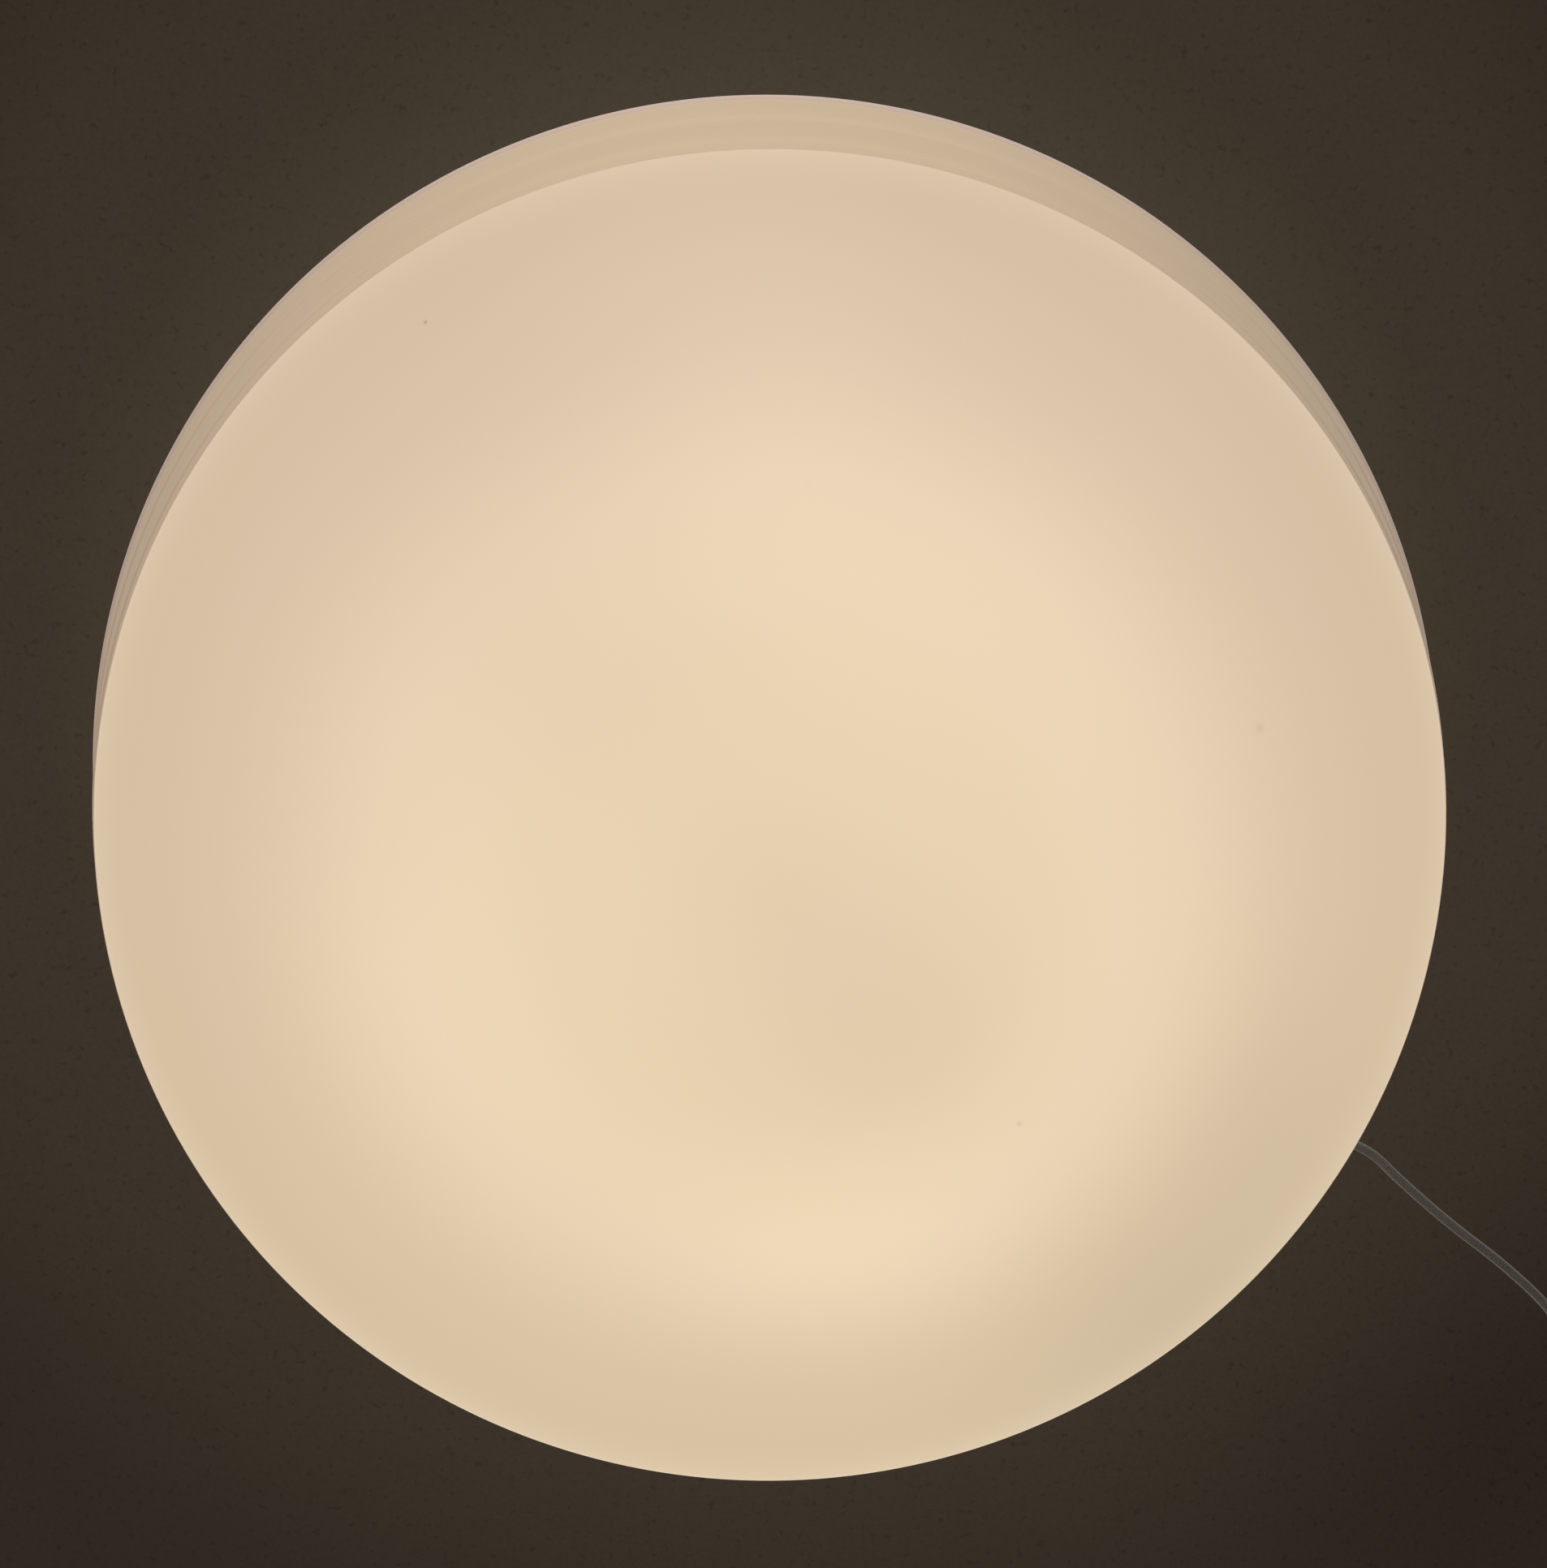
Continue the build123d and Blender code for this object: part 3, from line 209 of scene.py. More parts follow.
class NodeSheet:
    """A node tree that is written line by line."""

    def __init__(self, tree):
        self.tree = tree

    def add(self, kind, settings=None, sockets=None, output=0):
        """One node: its settings first, then its sockets' values or links."""
        node = self.tree.nodes.new(kind)
        for name, value in (settings or {}).items():
            if name == "stops":
                ramp = node.color_ramp
                while len(ramp.elements) < len(value):
                    ramp.elements.new(1.0)
                for element, (position, shade) in zip(ramp.elements, value):
                    element.position = position
                    element.color = (*shade, 1.0)
            elif name == "interpolation":
                node.color_ramp.interpolation = value
            else:
                setattr(node, name, value)
        for name, value in (sockets or {}).items():
            if isinstance(value, Value):
                self.tree.links.new(value.socket, node.inputs[name])
            else:
                node.inputs[name].default_value = value
        return Value(self, node, output)

    def maths(self, operation, *terms):
        """A Math node on numbers or other outputs."""
        return self.add("ShaderNodeMath", {"operation": operation}, dict(enumerate(terms)))

    def scaled(self, shade, share):
        """A colour times a number."""
        return self.add("ShaderNodeVectorMath", {"operation": "SCALE"}, {0: shade, "Scale": share})

    def mix(self, factor, first, second, blend="MIX"):
        """A colour between two colours."""
        sockets = {0: factor, 6: opaque(first), 7: opaque(second)}
        return self.add("ShaderNodeMix", {"data_type": "RGBA", "blend_type": blend}, sockets, 2)

    def ramp(self, factor, stops, interpolation="LINEAR"):
        """A colour that follows a number through its stops."""
        settings = {"stops": stops, "interpolation": interpolation}
        return self.add("ShaderNodeValToRGB", settings, {"Fac": factor}, "Color")

    def window(self, value, low, high):
        """0 below low, 1 above high, and smooth between."""
        sockets = {"Value": value, "From Min": low, "From Max": high}
        return self.add("ShaderNodeMapRange", {"interpolation_type": "SMOOTHSTEP"}, sockets)


def opaque(shade):
    """A colour with its alpha, or a link as it is."""
    return shade if isinstance(shade, Value) else (*shade[:3], 1.0)


class Finish(NodeSheet):
    """A material under its maker's name, drawn on the object's own coordinates."""

    def __init__(self, name):
        self.material = bpy.data.materials.new(name)
        self.material.use_nodes = True
        super().__init__(self.material.node_tree)
        self.tree.nodes.clear()
        self.place = self.add("ShaderNodeTexCoord", output="Object")

    def axes(self):
        """The coordinates as three numbers."""
        x = self.add("ShaderNodeSeparateXYZ", None, {"Vector": self.place}, "X")
        return x, x.pick("Y"), x.pick("Z")

    def stretched(self, scale):
        """The coordinates at another scale along each axis."""
        return self.add("ShaderNodeMapping", None, {"Vector": self.place, "Scale": scale})

    def noise(self, scale, detail=3.0, place=None, roughness=0.5):
        """Soft grain, about one over its scale across."""
        sockets = {"Vector": place or self.place, "Scale": scale, "Detail": detail, "Roughness": roughness}
        return self.add("ShaderNodeTexNoise", None, sockets, "Fac")

    def cells(self, scale, output="Distance", place=None):
        """Cells, about one over their scale across."""
        return self.add("ShaderNodeTexVoronoi", None, {"Vector": place or self.place, "Scale": scale}, output)

    def bump(self, height, distance, strength):
        """Relief of a real depth in metres."""
        sockets = {"Height": height, "Distance": distance, "Strength": strength}
        return self.add("ShaderNodeBump", None, sockets, "Normal")

    def surface(self, sockets):
        """Ends the material in one plain surface."""
        shader = self.add("ShaderNodeBsdfPrincipled", None, sockets, "BSDF")
        self.add("ShaderNodeOutputMaterial", None, {"Surface": shader})
        return self.material


# ---------------------------------------------------------------- finishes

# What the lit face gives by itself, from the centre to the crease: distance in metres and linear colour
FACE_GLOW = (
    (0.000, (0.751, 0.603, 0.406)),
    (0.015, (0.763, 0.613, 0.414)),
    (0.030, (0.773, 0.623, 0.422)),
    (0.045, (0.780, 0.624, 0.421)),
    (0.060, (0.785, 0.628, 0.424)),
    (0.075, (0.784, 0.629, 0.426)),
    (0.090, (0.797, 0.642, 0.440)),
    (0.105, (0.796, 0.638, 0.439)),
    (0.120, (0.789, 0.635, 0.448)),
    (0.135, (0.755, 0.603, 0.423)),
    (0.150, (0.716, 0.567, 0.395)),
    (0.165, (0.680, 0.535, 0.370)),
    (0.180, (0.661, 0.517, 0.358)),
    (0.195, (0.640, 0.502, 0.343)),
    (0.210, (0.623, 0.483, 0.324)),
    (0.220, (0.668, 0.522, 0.360)),
)

# What the lit wall gives by itself, from the rim up: share of the wall's height and linear colour
WALL_GLOW = (
    (0.000, (0.460, 0.331, 0.176)),
    (0.157, (0.455, 0.328, 0.174)),
    (0.160, (0.562, 0.430, 0.270)),
    (0.167, (0.562, 0.430, 0.270)),
    (0.169, (0.460, 0.331, 0.176)),
    (0.300, (0.450, 0.325, 0.172)),
    (0.548, (0.448, 0.323, 0.171)),
    (0.551, (0.562, 0.430, 0.270)),
    (0.558, (0.562, 0.430, 0.270)),
    (0.561, (0.460, 0.331, 0.176)),
    (0.750, (0.446, 0.321, 0.171)),
    (0.900, (0.441, 0.318, 0.169)),
    (0.930, (0.440, 0.322, 0.228)),
    (0.955, (0.485, 0.365, 0.283)),
    (0.985, (0.485, 0.365, 0.283)),
    (1.000, (0.440, 0.322, 0.228)),
)

# Where the glow is a little stronger or weaker: angle, distance, width and strength
GLOW_SPOTS = (
    (54.2, 0.060, 0.044, -0.075),
    (68.5, 0.125, 0.045, 0.055),
    (162.2, 0.095, 0.050, 0.020),
    (289.2, 0.095, 0.062, 0.035),
    (220.4, 0.105, 0.035, -0.028),
    (29.0, 0.170, 0.040, -0.045),
    (48.5, 0.206, 0.050, -0.060),
    (262.0, 0.189, 0.060, 0.040),
    (89.7, 0.113, 0.035, 0.022),
    (275.3, 0.174, 0.045, 0.022),
    (60.4, 0.181, 0.060, -0.014),
    (238.6, 0.075, 0.035, -0.014),
    (248.0, 0.138, 0.045, -0.022),
    (290.0, 0.130, 0.040, -0.012),
    (35.0, 0.125, 0.040, 0.020),
    (185.0, 0.130, 0.035, -0.012),
    (85.0, 0.132, 0.040, 0.016),
    (55.0, 0.190, 0.060, -0.010),
)

# Specks in the glass: place, radius and how dark
GLASS_SPECKS = (
    ((-0.1069, -0.1662, -0.4633), 0.0006, 0.4),
    ((0.1484, -0.0434, -0.4891), 0.0016, 0.09),
    ((0.0094, -0.1180, -0.5049), 0.0012, 0.03),
    ((0.0743, 0.0756, -0.5092), 0.0007, 0.2),
)


def opal_glass():
    """Cased opal glass with the bulbs lit behind it."""
    shade = bpy.context.scene.pendant_shade
    sheet = Finish("opal glass, lit")
    x, y, z = sheet.axes()
    distance = (x * x + y * y) ** 0.5
    across = shade.lip_radius
    face = sheet.ramp(distance / across, [(reach / across, tint) for reach, tint in FACE_GLOW], "B_SPLINE")
    # Seen over the whole face, the glow drifts from a pinker white to a yellower one
    drift = sheet.mix(y / (2 * shade.rim_radius) + 0.5, (1.003, 1.0, 1.04), (0.997, 1.0, 0.96))
    face = sheet.mix(1.0, face, drift, "MULTIPLY")
    uneven = 1.0 + 0.02 * (sheet.noise(9.0, 2.0) - 0.5)
    for angle, reach, width, strength in GLOW_SPOTS:
        turn = math.radians(angle)
        right, onward = x - reach * math.cos(turn), y - reach * math.sin(turn)
        squared = (right * right + onward * onward) / (width * width)
        uneven = uneven + strength * sheet.maths("EXPONENT", squared * -1.0)
    for place, radius, dark in GLASS_SPECKS:
        away = sheet.add("ShaderNodeVectorMath", {"operation": "DISTANCE"}, {0: sheet.place, 1: place}, "Value")
        away = away / radius
        uneven = uneven - dark * sheet.maths("EXPONENT", away * away * -1.0)
    height = (z - SHADE_RIM_LEVEL) / shade.wall_height
    wall = sheet.ramp(height, WALL_GLOW)
    # Painted shade: the wall's glow is made much darker and redder towards ±X than towards ±Y
    lit = sheet.mix((y * y) / (distance * distance), (0.48, 0.41, 0.38), (0.985, 0.96, 1.0))
    wall = sheet.mix(1.0, wall, lit, "MULTIPLY")
    # Painted shade: the +X side of the wall a little darker than the −X side
    side = 1.0 - 0.08 * x / distance
    on_wall = sheet.window(z, SHADE_RIM_LEVEL - 0.0006, SHADE_RIM_LEVEL + 0.0006)
    glow = sheet.mix(on_wall, sheet.scaled(face, uneven), sheet.scaled(wall, side))
    top = sheet.window(z, SHADE_RIM_LEVEL + shade.wall_height, SHADE_RIM_LEVEL + shade.wall_height + 0.006)
    glow = sheet.mix(top, glow, (0.16, 0.115, 0.070))
    seeds = sheet.cells(260.0, place=sheet.stretched((1.0, 1.0, 0.6)))
    ripple = sheet.noise(14.0, 2.0) + 0.02 * sheet.noise(420.0, 1.0) + 0.01 * seeds
    cloud = sheet.noise(30.0, 4.0)
    tint = sheet.mix(cloud, shade.glass, tuple(c * 0.965 for c in shade.glass))
    return sheet.surface({
        "Base Color": tint,
        "Roughness": shade.roughness + 0.05 * (sheet.noise(55.0, 3.0) - 0.5),
        "Normal": sheet.bump(ripple, 0.0006, 0.35),
        "IOR": 1.5,
        "Specular IOR Level": 0.25,
        "Emission Color": glow,
        "Emission Strength": 1.0,
    })


def white_enamel():
    """Satin white stove enamel on steel, with a faint orange peel, patches of dust and a few chips."""
    tint = bpy.context.scene.pendant_fittings.enamel
    sheet = Finish("white enamel")
    peel = sheet.noise(520.0, 2.0)
    dust = sheet.window(sheet.noise(38.0, 5.0, roughness=0.65), 0.45, 0.75)
    chip = sheet.window(sheet.cells(70.0), 0.035, 0.025)
    worn = tuple(c * 0.93 for c in tint)
    base = sheet.mix(dust, tint, (worn[0], worn[1] * 0.99, worn[2] * 0.965))
    base = sheet.mix(chip * 0.12, base, (0.45, 0.42, 0.37))
    return sheet.surface({
        "Base Color": base,
        "Roughness": 0.30 + 0.14 * dust,
        "Normal": sheet.bump(peel, 0.00006, 0.5),
        "Coat Weight": 0.15,
        "Coat Roughness": 0.2,
    })


def metal(name, light, dark, roughness, grain, spread=0.10, stretch=(1.0, 1.0, 1.0)):
    """A bare metal with tarnish in patches and fine tool marks."""
    sheet = Finish(name)
    tarnish = sheet.window(sheet.noise(grain, 5.0, roughness=0.6), 0.35, 0.72)
    marks = sheet.noise(1500.0, 2.0, place=sheet.stretched(stretch))
    return sheet.surface({
        "Base Color": sheet.mix(tarnish, light, dark),
        "Roughness": roughness + spread * tarnish + 0.05 * (marks - 0.5),
        "Metallic": 1.0,
        "Normal": sheet.bump(marks, 0.00002, 0.6),
    })


def zinc():
    """Galvanised steel with its crystals, bright and dull side by side."""
    sheet = Finish("zinc plate")
    crystal = sheet.add("ShaderNodeSeparateColor", None, {"Color": sheet.cells(240.0, output="Color")}, "Red")
    stain = sheet.noise(45.0, 4.0)
    base = sheet.mix(crystal, (0.47, 0.48, 0.50), (0.60, 0.61, 0.62))
    return sheet.surface({
        "Base Color": sheet.mix(stain * 0.3, base, (0.40, 0.39, 0.37)),
        "Roughness": 0.30 + 0.16 * crystal + 0.08 * stain,
        "Metallic": 1.0,
        "Normal": sheet.bump(crystal, 0.00002, 0.4),
    })


def plastic(name, tint, roughness, grain, depth, aged=(0.97, 0.95, 0.88), coat=0.0):
    """A moulded plastic: fine mould grain, and a little yellowing in patches."""
    sheet = Finish(name)
    patch = sheet.window(sheet.noise(32.0, 4.0), 0.35, 0.75)
    texture = sheet.noise(grain, 2.0)
    old = tuple(c * a for c, a in zip(tint, aged))
    return sheet.surface({
        "Base Color": sheet.mix(patch * 0.7, tint, old),
        "Roughness": roughness + 0.10 * (patch - 0.5) + 0.04 * (texture - 0.5),
        "Normal": sheet.bump(texture, depth, 0.5),
        "Coat Weight": coat,
        "Coat Roughness": 0.12,
    })


def white_nylon():
    """The cord grips' nylon."""
    return plastic("white nylon", tuple(bpy.context.scene.pendant_fittings.nylon), 0.48, 1200.0, 0.00006)


def white_pvc():
    """The flex's sheath: satin PVC, a little soiled, with the draw of the die along it; its colour is darker than
    white PVC, painted shade.
    """
    tint = bpy.context.scene.pendant_flex.sheath
    sheet = Finish("flex sheath with painted shade")
    sockets = {"Vector": sheet.place, "Rotation": (0.0, 0.0, math.radians(CORD_ANGLE)), "Scale": (20.0, 1.0, 1.0)}
    run = sheet.add("ShaderNodeMapping", {"vector_type": "TEXTURE"}, sockets)
    draw = sheet.noise(1400.0, 2.0, place=run)
    soil = sheet.window(sheet.noise(60.0, 5.0, roughness=0.65), 0.4, 0.8)
    lump = sheet.noise(70.0, 1.0)
    return sheet.surface({
        # The sheath's colour carries painted shade; the soil patches are dirt
        "Base Color": sheet.mix(soil * 0.6, tint, tuple(c * a for c, a in zip(tint, (0.90, 0.87, 0.80)))),
        "Roughness": 0.42 + 0.12 * soil,
        "Normal": sheet.bump(draw * 0.02 + lump, 0.0002, 0.12),
    })


def porcelain():
    """Glazed white porcelain with a few pinholes."""
    sheet = Finish("glazed porcelain")
    pinhole = sheet.window(sheet.cells(420.0), 0.07, 0.03)
    base = sheet.mix(sheet.noise(80.0, 3.0), (0.80, 0.79, 0.75), (0.76, 0.745, 0.70))
    return sheet.surface({
        "Base Color": sheet.mix(pinhole * 0.5, base, (0.35, 0.30, 0.24)),
        "Roughness": 0.16 + 0.2 * pinhole,
        "Normal": sheet.bump(sheet.noise(160.0, 2.0) - pinhole * 0.3, 0.0001, 0.4),
        "Coat Weight": 0.5,
        "Coat Roughness": 0.05,
    })


def earth_core():
    """The earth core's green with its yellow stripe."""
    sheet = Finish("green and yellow core")
    wave = sheet.add("ShaderNodeTexWave", {"bands_direction": "DIAGONAL"},
                     {"Vector": sheet.place, "Scale": 150.0}, "Fac")
    stripe = sheet.window(wave, 0.45, 0.55)
    return sheet.surface({
        "Base Color": sheet.mix(stripe, (0.07, 0.22, 0.035), (0.62, 0.52, 0.03)),
        "Roughness": 0.4 + 0.06 * sheet.noise(700.0, 2.0),
    })


def bulb_glow():
    """A frosted globe, lit: brightest at the crown and duller where it meets the skirt."""
    glow = bpy.context.scene.pendant_bulbs.glow
    sheet = Finish("bulb globe, lit")
    x, y, _ = sheet.axes()
    distance = (x * x + y * y) ** 0.5
    rise = sheet.window(distance, 0.095, 0.125)
    return sheet.surface({
        "Base Color": sheet.mix(sheet.noise(60.0, 2.0), (0.80, 0.78, 0.74), (0.76, 0.74, 0.69)),
        "Roughness": 0.5 + 0.05 * sheet.noise(500.0, 2.0),
        "Emission Color": sheet.mix(rise, tuple(c * 0.62 for c in glow), glow),
        "Emission Strength": 0.55,
    })


# Each slot's finish: what makes it, and what that is given
FINISHES = {
    "opal_glass": (opal_glass,),
    "white_enamel": (white_enamel,),
    "zinc": (zinc,),
    "nickel": (metal, "nickel plate", (0.66, 0.63, 0.58), (0.52, 0.48, 0.42), 0.20, 70.0),
    "spring_steel": (metal, "spring steel", (0.42, 0.43, 0.45), (0.30, 0.29, 0.29), 0.30, 90.0, 0.10,
                     (0.08, 0.08, 1.0)),
    "brass": (metal, "brass", (0.78, 0.58, 0.27), (0.50, 0.35, 0.15), 0.24, 85.0, 0.16),
    "bulb_cap": (metal, "rolled bulb cap", (0.70, 0.69, 0.67), (0.55, 0.53, 0.50), 0.28, 110.0),
    "white_nylon": (white_nylon,),
    "white_thermoplastic": (plastic, "white lampholder plastic", (0.78, 0.775, 0.75), 0.30, 1500.0, 0.00002,
                            (0.97, 0.95, 0.88), 0.2),
    "white_pvc": (white_pvc,),
    "porcelain": (porcelain,),
    "silicone": (plastic, "silicone gasket", (0.56, 0.56, 0.54), 0.55, 800.0, 0.00008, (0.95, 0.93, 0.88)),
    "core_brown": (plastic, "brown core", (0.105, 0.042, 0.018), 0.40, 900.0, 0.00003, (0.8, 0.8, 0.8)),
    "core_blue": (plastic, "blue core", (0.022, 0.075, 0.30), 0.40, 900.0, 0.00003, (0.85, 0.85, 0.85)),
    "core_green": (earth_core,),
    "bulb_globe": (bulb_glow,),
    "bulb_skirt": (plastic, "bulb skirt", (0.74, 0.735, 0.72), 0.38, 1100.0, 0.00004),
    "black_glass": (plastic, "black cap glass", (0.02, 0.02, 0.022), 0.12, 500.0, 0.00003, (1.0, 1.0, 1.0)),
}
made_finishes = {}


def finish(name):
    """A finish by its slot's name, made once."""
    if name not in made_finishes:
        maker, *given = FINISHES[name]
        made_finishes[name] = maker(*given)
    return made_finishes[name]


# ---------------------------------------------------------------- sections


def arc(start, middle, end, count):
    """Points on the arc through three points, both ends among them."""
    (ax, ay), (bx, by), (cx, cy) = start, middle, end
    d = 2 * (ax * (by - cy) + bx * (cy - ay) + cx * (ay - by))
    sa, sb, sc = ax * ax + ay * ay, bx * bx + by * by, cx * cx + cy * cy
    ox = (sa * (by - cy) + sb * (cy - ay) + sc * (ay - by)) / d
    oy = (sa * (cx - bx) + sb * (ax - cx) + sc * (bx - ax)) / d
    radius = math.hypot(ax - ox, ay - oy)
    first = math.atan2(ay - oy, ax - ox)
    turn = (bx - ax) * (cy - ay) - (by - ay) * (cx - ax)
    sweep = (math.atan2(cy - oy, cx - ox) - first) % math.tau
    if turn < 0:
        sweep -= math.tau
    steps = [first + sweep * i / (count - 1) for i in range(count)]
    return [(ox + radius * math.cos(a), oy + radius * math.sin(a)) for a in steps]


def rounded(corners, count=5, closed=False):
    """A line of points, each corner rounded by its own radius: (x, y) or (x, y, radius)."""
    corners = [(*corner, 0.0)[:3] for corner in corners]
    points = []
    total = len(corners)
    for i, (x, y, radius) in enumerate(corners):
        if radius <= 0 or (not closed and i in (0, total - 1)):
            points.append((x, y))
            continue
        here = Vector((x, y))
        back = Vector(corners[i - 1][:2]) - here
        onward = Vector(corners[(i + 1) % total][:2]) - here
        half = back.angle(onward) / 2
        reach = min(radius / math.tan(half), 0.49 * back.length, 0.49 * onward.length)
        a = here + back.normalized() * reach
        b = here + onward.normalized() * reach
        bisector = (back.normalized() + onward.normalized()).normalized()
        true_radius = reach * math.tan(half)
        centre = here + bisector * (reach / math.cos(half))
        middle = centre - bisector * true_radius
        points.extend(arc(tuple(a), tuple(middle), tuple(b), count))
    if closed:
        points.append(points[0])
    return points


def levels(start, end, step):
    """Numbers from one to the other, about a step apart."""
    count = max(2, round(abs(end - start) / step) + 1)
    return [start + (end - start) * i / (count - 1) for i in range(count)]


def band(beyond, low, high):
    """Picks the points of a section that lie past a radius and between two levels."""
    return lambda radius, level: float(radius > beyond and low < level < high)


# ---------------------------------------------------------------- geometry trees


def new_tree(name, inputs):
    """An empty geometry tree with its named inputs, and the sheet that it is written on."""
    tree = bpy.data.node_groups.new(name, "GeometryNodeTree")
    tree.interface.new_socket("Geometry", in_out="INPUT", socket_type="NodeSocketGeometry")
    for socket, kind in inputs:
        tree.interface.new_socket(socket, in_out="INPUT", socket_type=kind)
    tree.interface.new_socket("Geometry", in_out="OUTPUT", socket_type="NodeSocketGeometry")
    sheet = NodeSheet(tree)
    return tree, sheet, sheet.add("NodeGroupInput", output="Geometry")


def end_tree(sheet, shape, given, sharp=None):
    """Smooth shading with sharp edges, then Realize Instances, Set Material and the output."""
    if sharp is not None:
        shape = sheet.add("GeometryNodeSetShadeSmooth", {"domain": "FACE"},
                          {"Geometry": shape, "Shade Smooth": True})
        angle = sheet.add("GeometryNodeInputMeshEdgeAngle", output="Unsigned Angle")
        shape = sheet.add("GeometryNodeSetShadeSmooth", {"domain": "EDGE"},
                          {"Geometry": shape, "Selection": angle > sharp, "Shade Smooth": False})
    real = sheet.add("GeometryNodeRealizeInstances", None, {"Geometry": shape})
    ending = sheet.add("GeometryNodeSetMaterial", None, {"Geometry": real, "Material": given.pick("Material")})
    sheet.add("NodeGroupOutput", None, {"Geometry": ending})


def turning_tree():
    """A section turned about the upright axis, with a screw thread or ribs where the section asks for them."""
    tree, sheet, given = new_tree("turned section", (
        ("Segments", "NodeSocketInt"),
        ("Thread Pitch", "NodeSocketFloat"),
        ("Thread Depth", "NodeSocketFloat"),
        ("Ribs", "NodeSocketInt"),
        ("Rib Depth", "NodeSocketFloat"),
        ("Sharp Angle", "NodeSocketFloat"),
        ("Material", "NodeSocketMaterial"),
    ))
    count = sheet.add("GeometryNodeAttributeDomainSize", {"component": "MESH"}, {"Geometry": given}, "Point Count")
    segments = given.pick("Segments")
    grid = sheet.add("GeometryNodeMeshGrid", None, {"Vertices X": segments + 1, "Vertices Y": count}, "Mesh")
    index = sheet.add("GeometryNodeInputIndex")
    column = sheet.maths("FLOOR", (index + 0.5) / count)
    row = index - column * count

    def sampled(kind, value, output=0):
        return sheet.add("GeometryNodeSampleIndex", {"data_type": kind, "domain": "POINT"},
                         {"Geometry": given, "Value": value, "Index": row}, output)

    place = sampled("FLOAT_VECTOR", sheet.add("GeometryNodeInputPosition"))
    thread, rib = (
        sampled("FLOAT", sheet.add("GeometryNodeInputNamedAttribute", {"data_type": "FLOAT"}, {"Name": name},
                                   "Attribute"))
        for name in ("thread", "rib"))
    parts = sheet.add("ShaderNodeSeparateXYZ", None, {"Vector": place}, "X")
    level = parts.pick("Z")
    share = column / segments
    turn = share * math.tau
    helix = (level / given.pick("Thread Pitch") - share) * math.tau
    crest = thread * given.pick("Thread Depth") * (sheet.maths("COSINE", helix) * 0.5 + 0.5)
    ridge = rib * given.pick("Rib Depth") * (sheet.maths("COSINE", turn * given.pick("Ribs")) * 0.5 + 0.5)
    radius = parts + crest + ridge
    spot = sheet.add("ShaderNodeCombineXYZ", None, {
        "X": radius * sheet.maths("COSINE", turn),
        "Y": radius * sheet.maths("SINE", turn),
        "Z": level,
    })
    shape = sheet.add("GeometryNodeSetPosition", None, {"Geometry": grid, "Position": spot})
    shape = sheet.add("GeometryNodeMergeByDistance", None, {"Geometry": shape, "Distance": MERGED})
    end_tree(sheet, shape, given, given.pick("Sharp Angle"))
    return tree


def ring_of_points(sheet, count, radius, start, level=0.0):
    """Points in a ring about the upright axis, and the angle of each."""
    points = sheet.add("GeometryNodeMeshCircle", None, {"Vertices": count, "Radius": radius})
    angle = sheet.add("GeometryNodeInputIndex") / count * math.tau + start
    spot = sheet.add("ShaderNodeCombineXYZ", None, {
        "X": radius * sheet.maths("COSINE", angle),
        "Y": radius * sheet.maths("SINE", angle),
        "Z": level,
    })
    return sheet.add("GeometryNodeSetPosition", None, {"Geometry": points, "Position": spot}), angle


def ring_tree():
    """One shape repeated round the upright axis, each turned to face outward."""
    tree, sheet, given = new_tree("repeated in a ring", (
        ("Count", "NodeSocketInt"),
        ("Radius", "NodeSocketFloat"),
        ("Start", "NodeSocketFloat"),
        ("Material", "NodeSocketMaterial"),
    ))
    points, angle = ring_of_points(sheet, given.pick("Count"), given.pick("Radius"), given.pick("Start"))
    facing = sheet.add("ShaderNodeCombineXYZ", None, {"Z": angle})
    copies = sheet.add("GeometryNodeInstanceOnPoints", None,
                       {"Points": points, "Instance": given, "Rotation": facing})
    end_tree(sheet, copies, given)
    return tree


def piercing_tree():
    """Round holes punched through a sheet, in a ring."""
    tree, sheet, given = new_tree("punched in a ring", (
        ("Count", "NodeSocketInt"),
        ("Circle", "NodeSocketFloat"),
        ("Hole", "NodeSocketFloat"),
        ("Start", "NodeSocketFloat"),
        ("Level", "NodeSocketFloat"),
        ("Depth", "NodeSocketFloat"),
        ("Sharp Angle", "NodeSocketFloat"),
        ("Material", "NodeSocketMaterial"),
    ))
    points, _ = ring_of_points(sheet, given.pick("Count"), given.pick("Circle"), given.pick("Start"),
                               given.pick("Level"))
    punch = sheet.add("GeometryNodeMeshCylinder", None,
                      {"Vertices": 24, "Radius": given.pick("Hole"), "Depth": given.pick("Depth")}, "Mesh")
    punches = sheet.add("GeometryNodeInstanceOnPoints", None, {"Points": points, "Instance": punch})
    punches = sheet.add("GeometryNodeRealizeInstances", None, {"Geometry": punches})
    cut = sheet.add("GeometryNodeMeshBoolean", {"operation": "DIFFERENCE", "solver": "EXACT"},
                    {"Mesh 1": given, "Mesh 2": punches}, "Mesh")
    end_tree(sheet, cut, given, given.pick("Sharp Angle"))
    return tree


TREES = {"turned": turning_tree, "ring": ring_tree, "pierced": piercing_tree}
made_trees = {}


def tree_named(name):
    """A geometry tree by its name, made once."""
    if name not in made_trees:
        made_trees[name] = TREES[name]()
    return made_trees[name]


# ---------------------------------------------------------------- making pieces


def new_piece(name, mesh):
    """A mesh as an object of its own, at the origin."""
    piece = bpy.data.objects.new(name, mesh)
    bpy.context.scene.collection.objects.link(piece)
    return piece


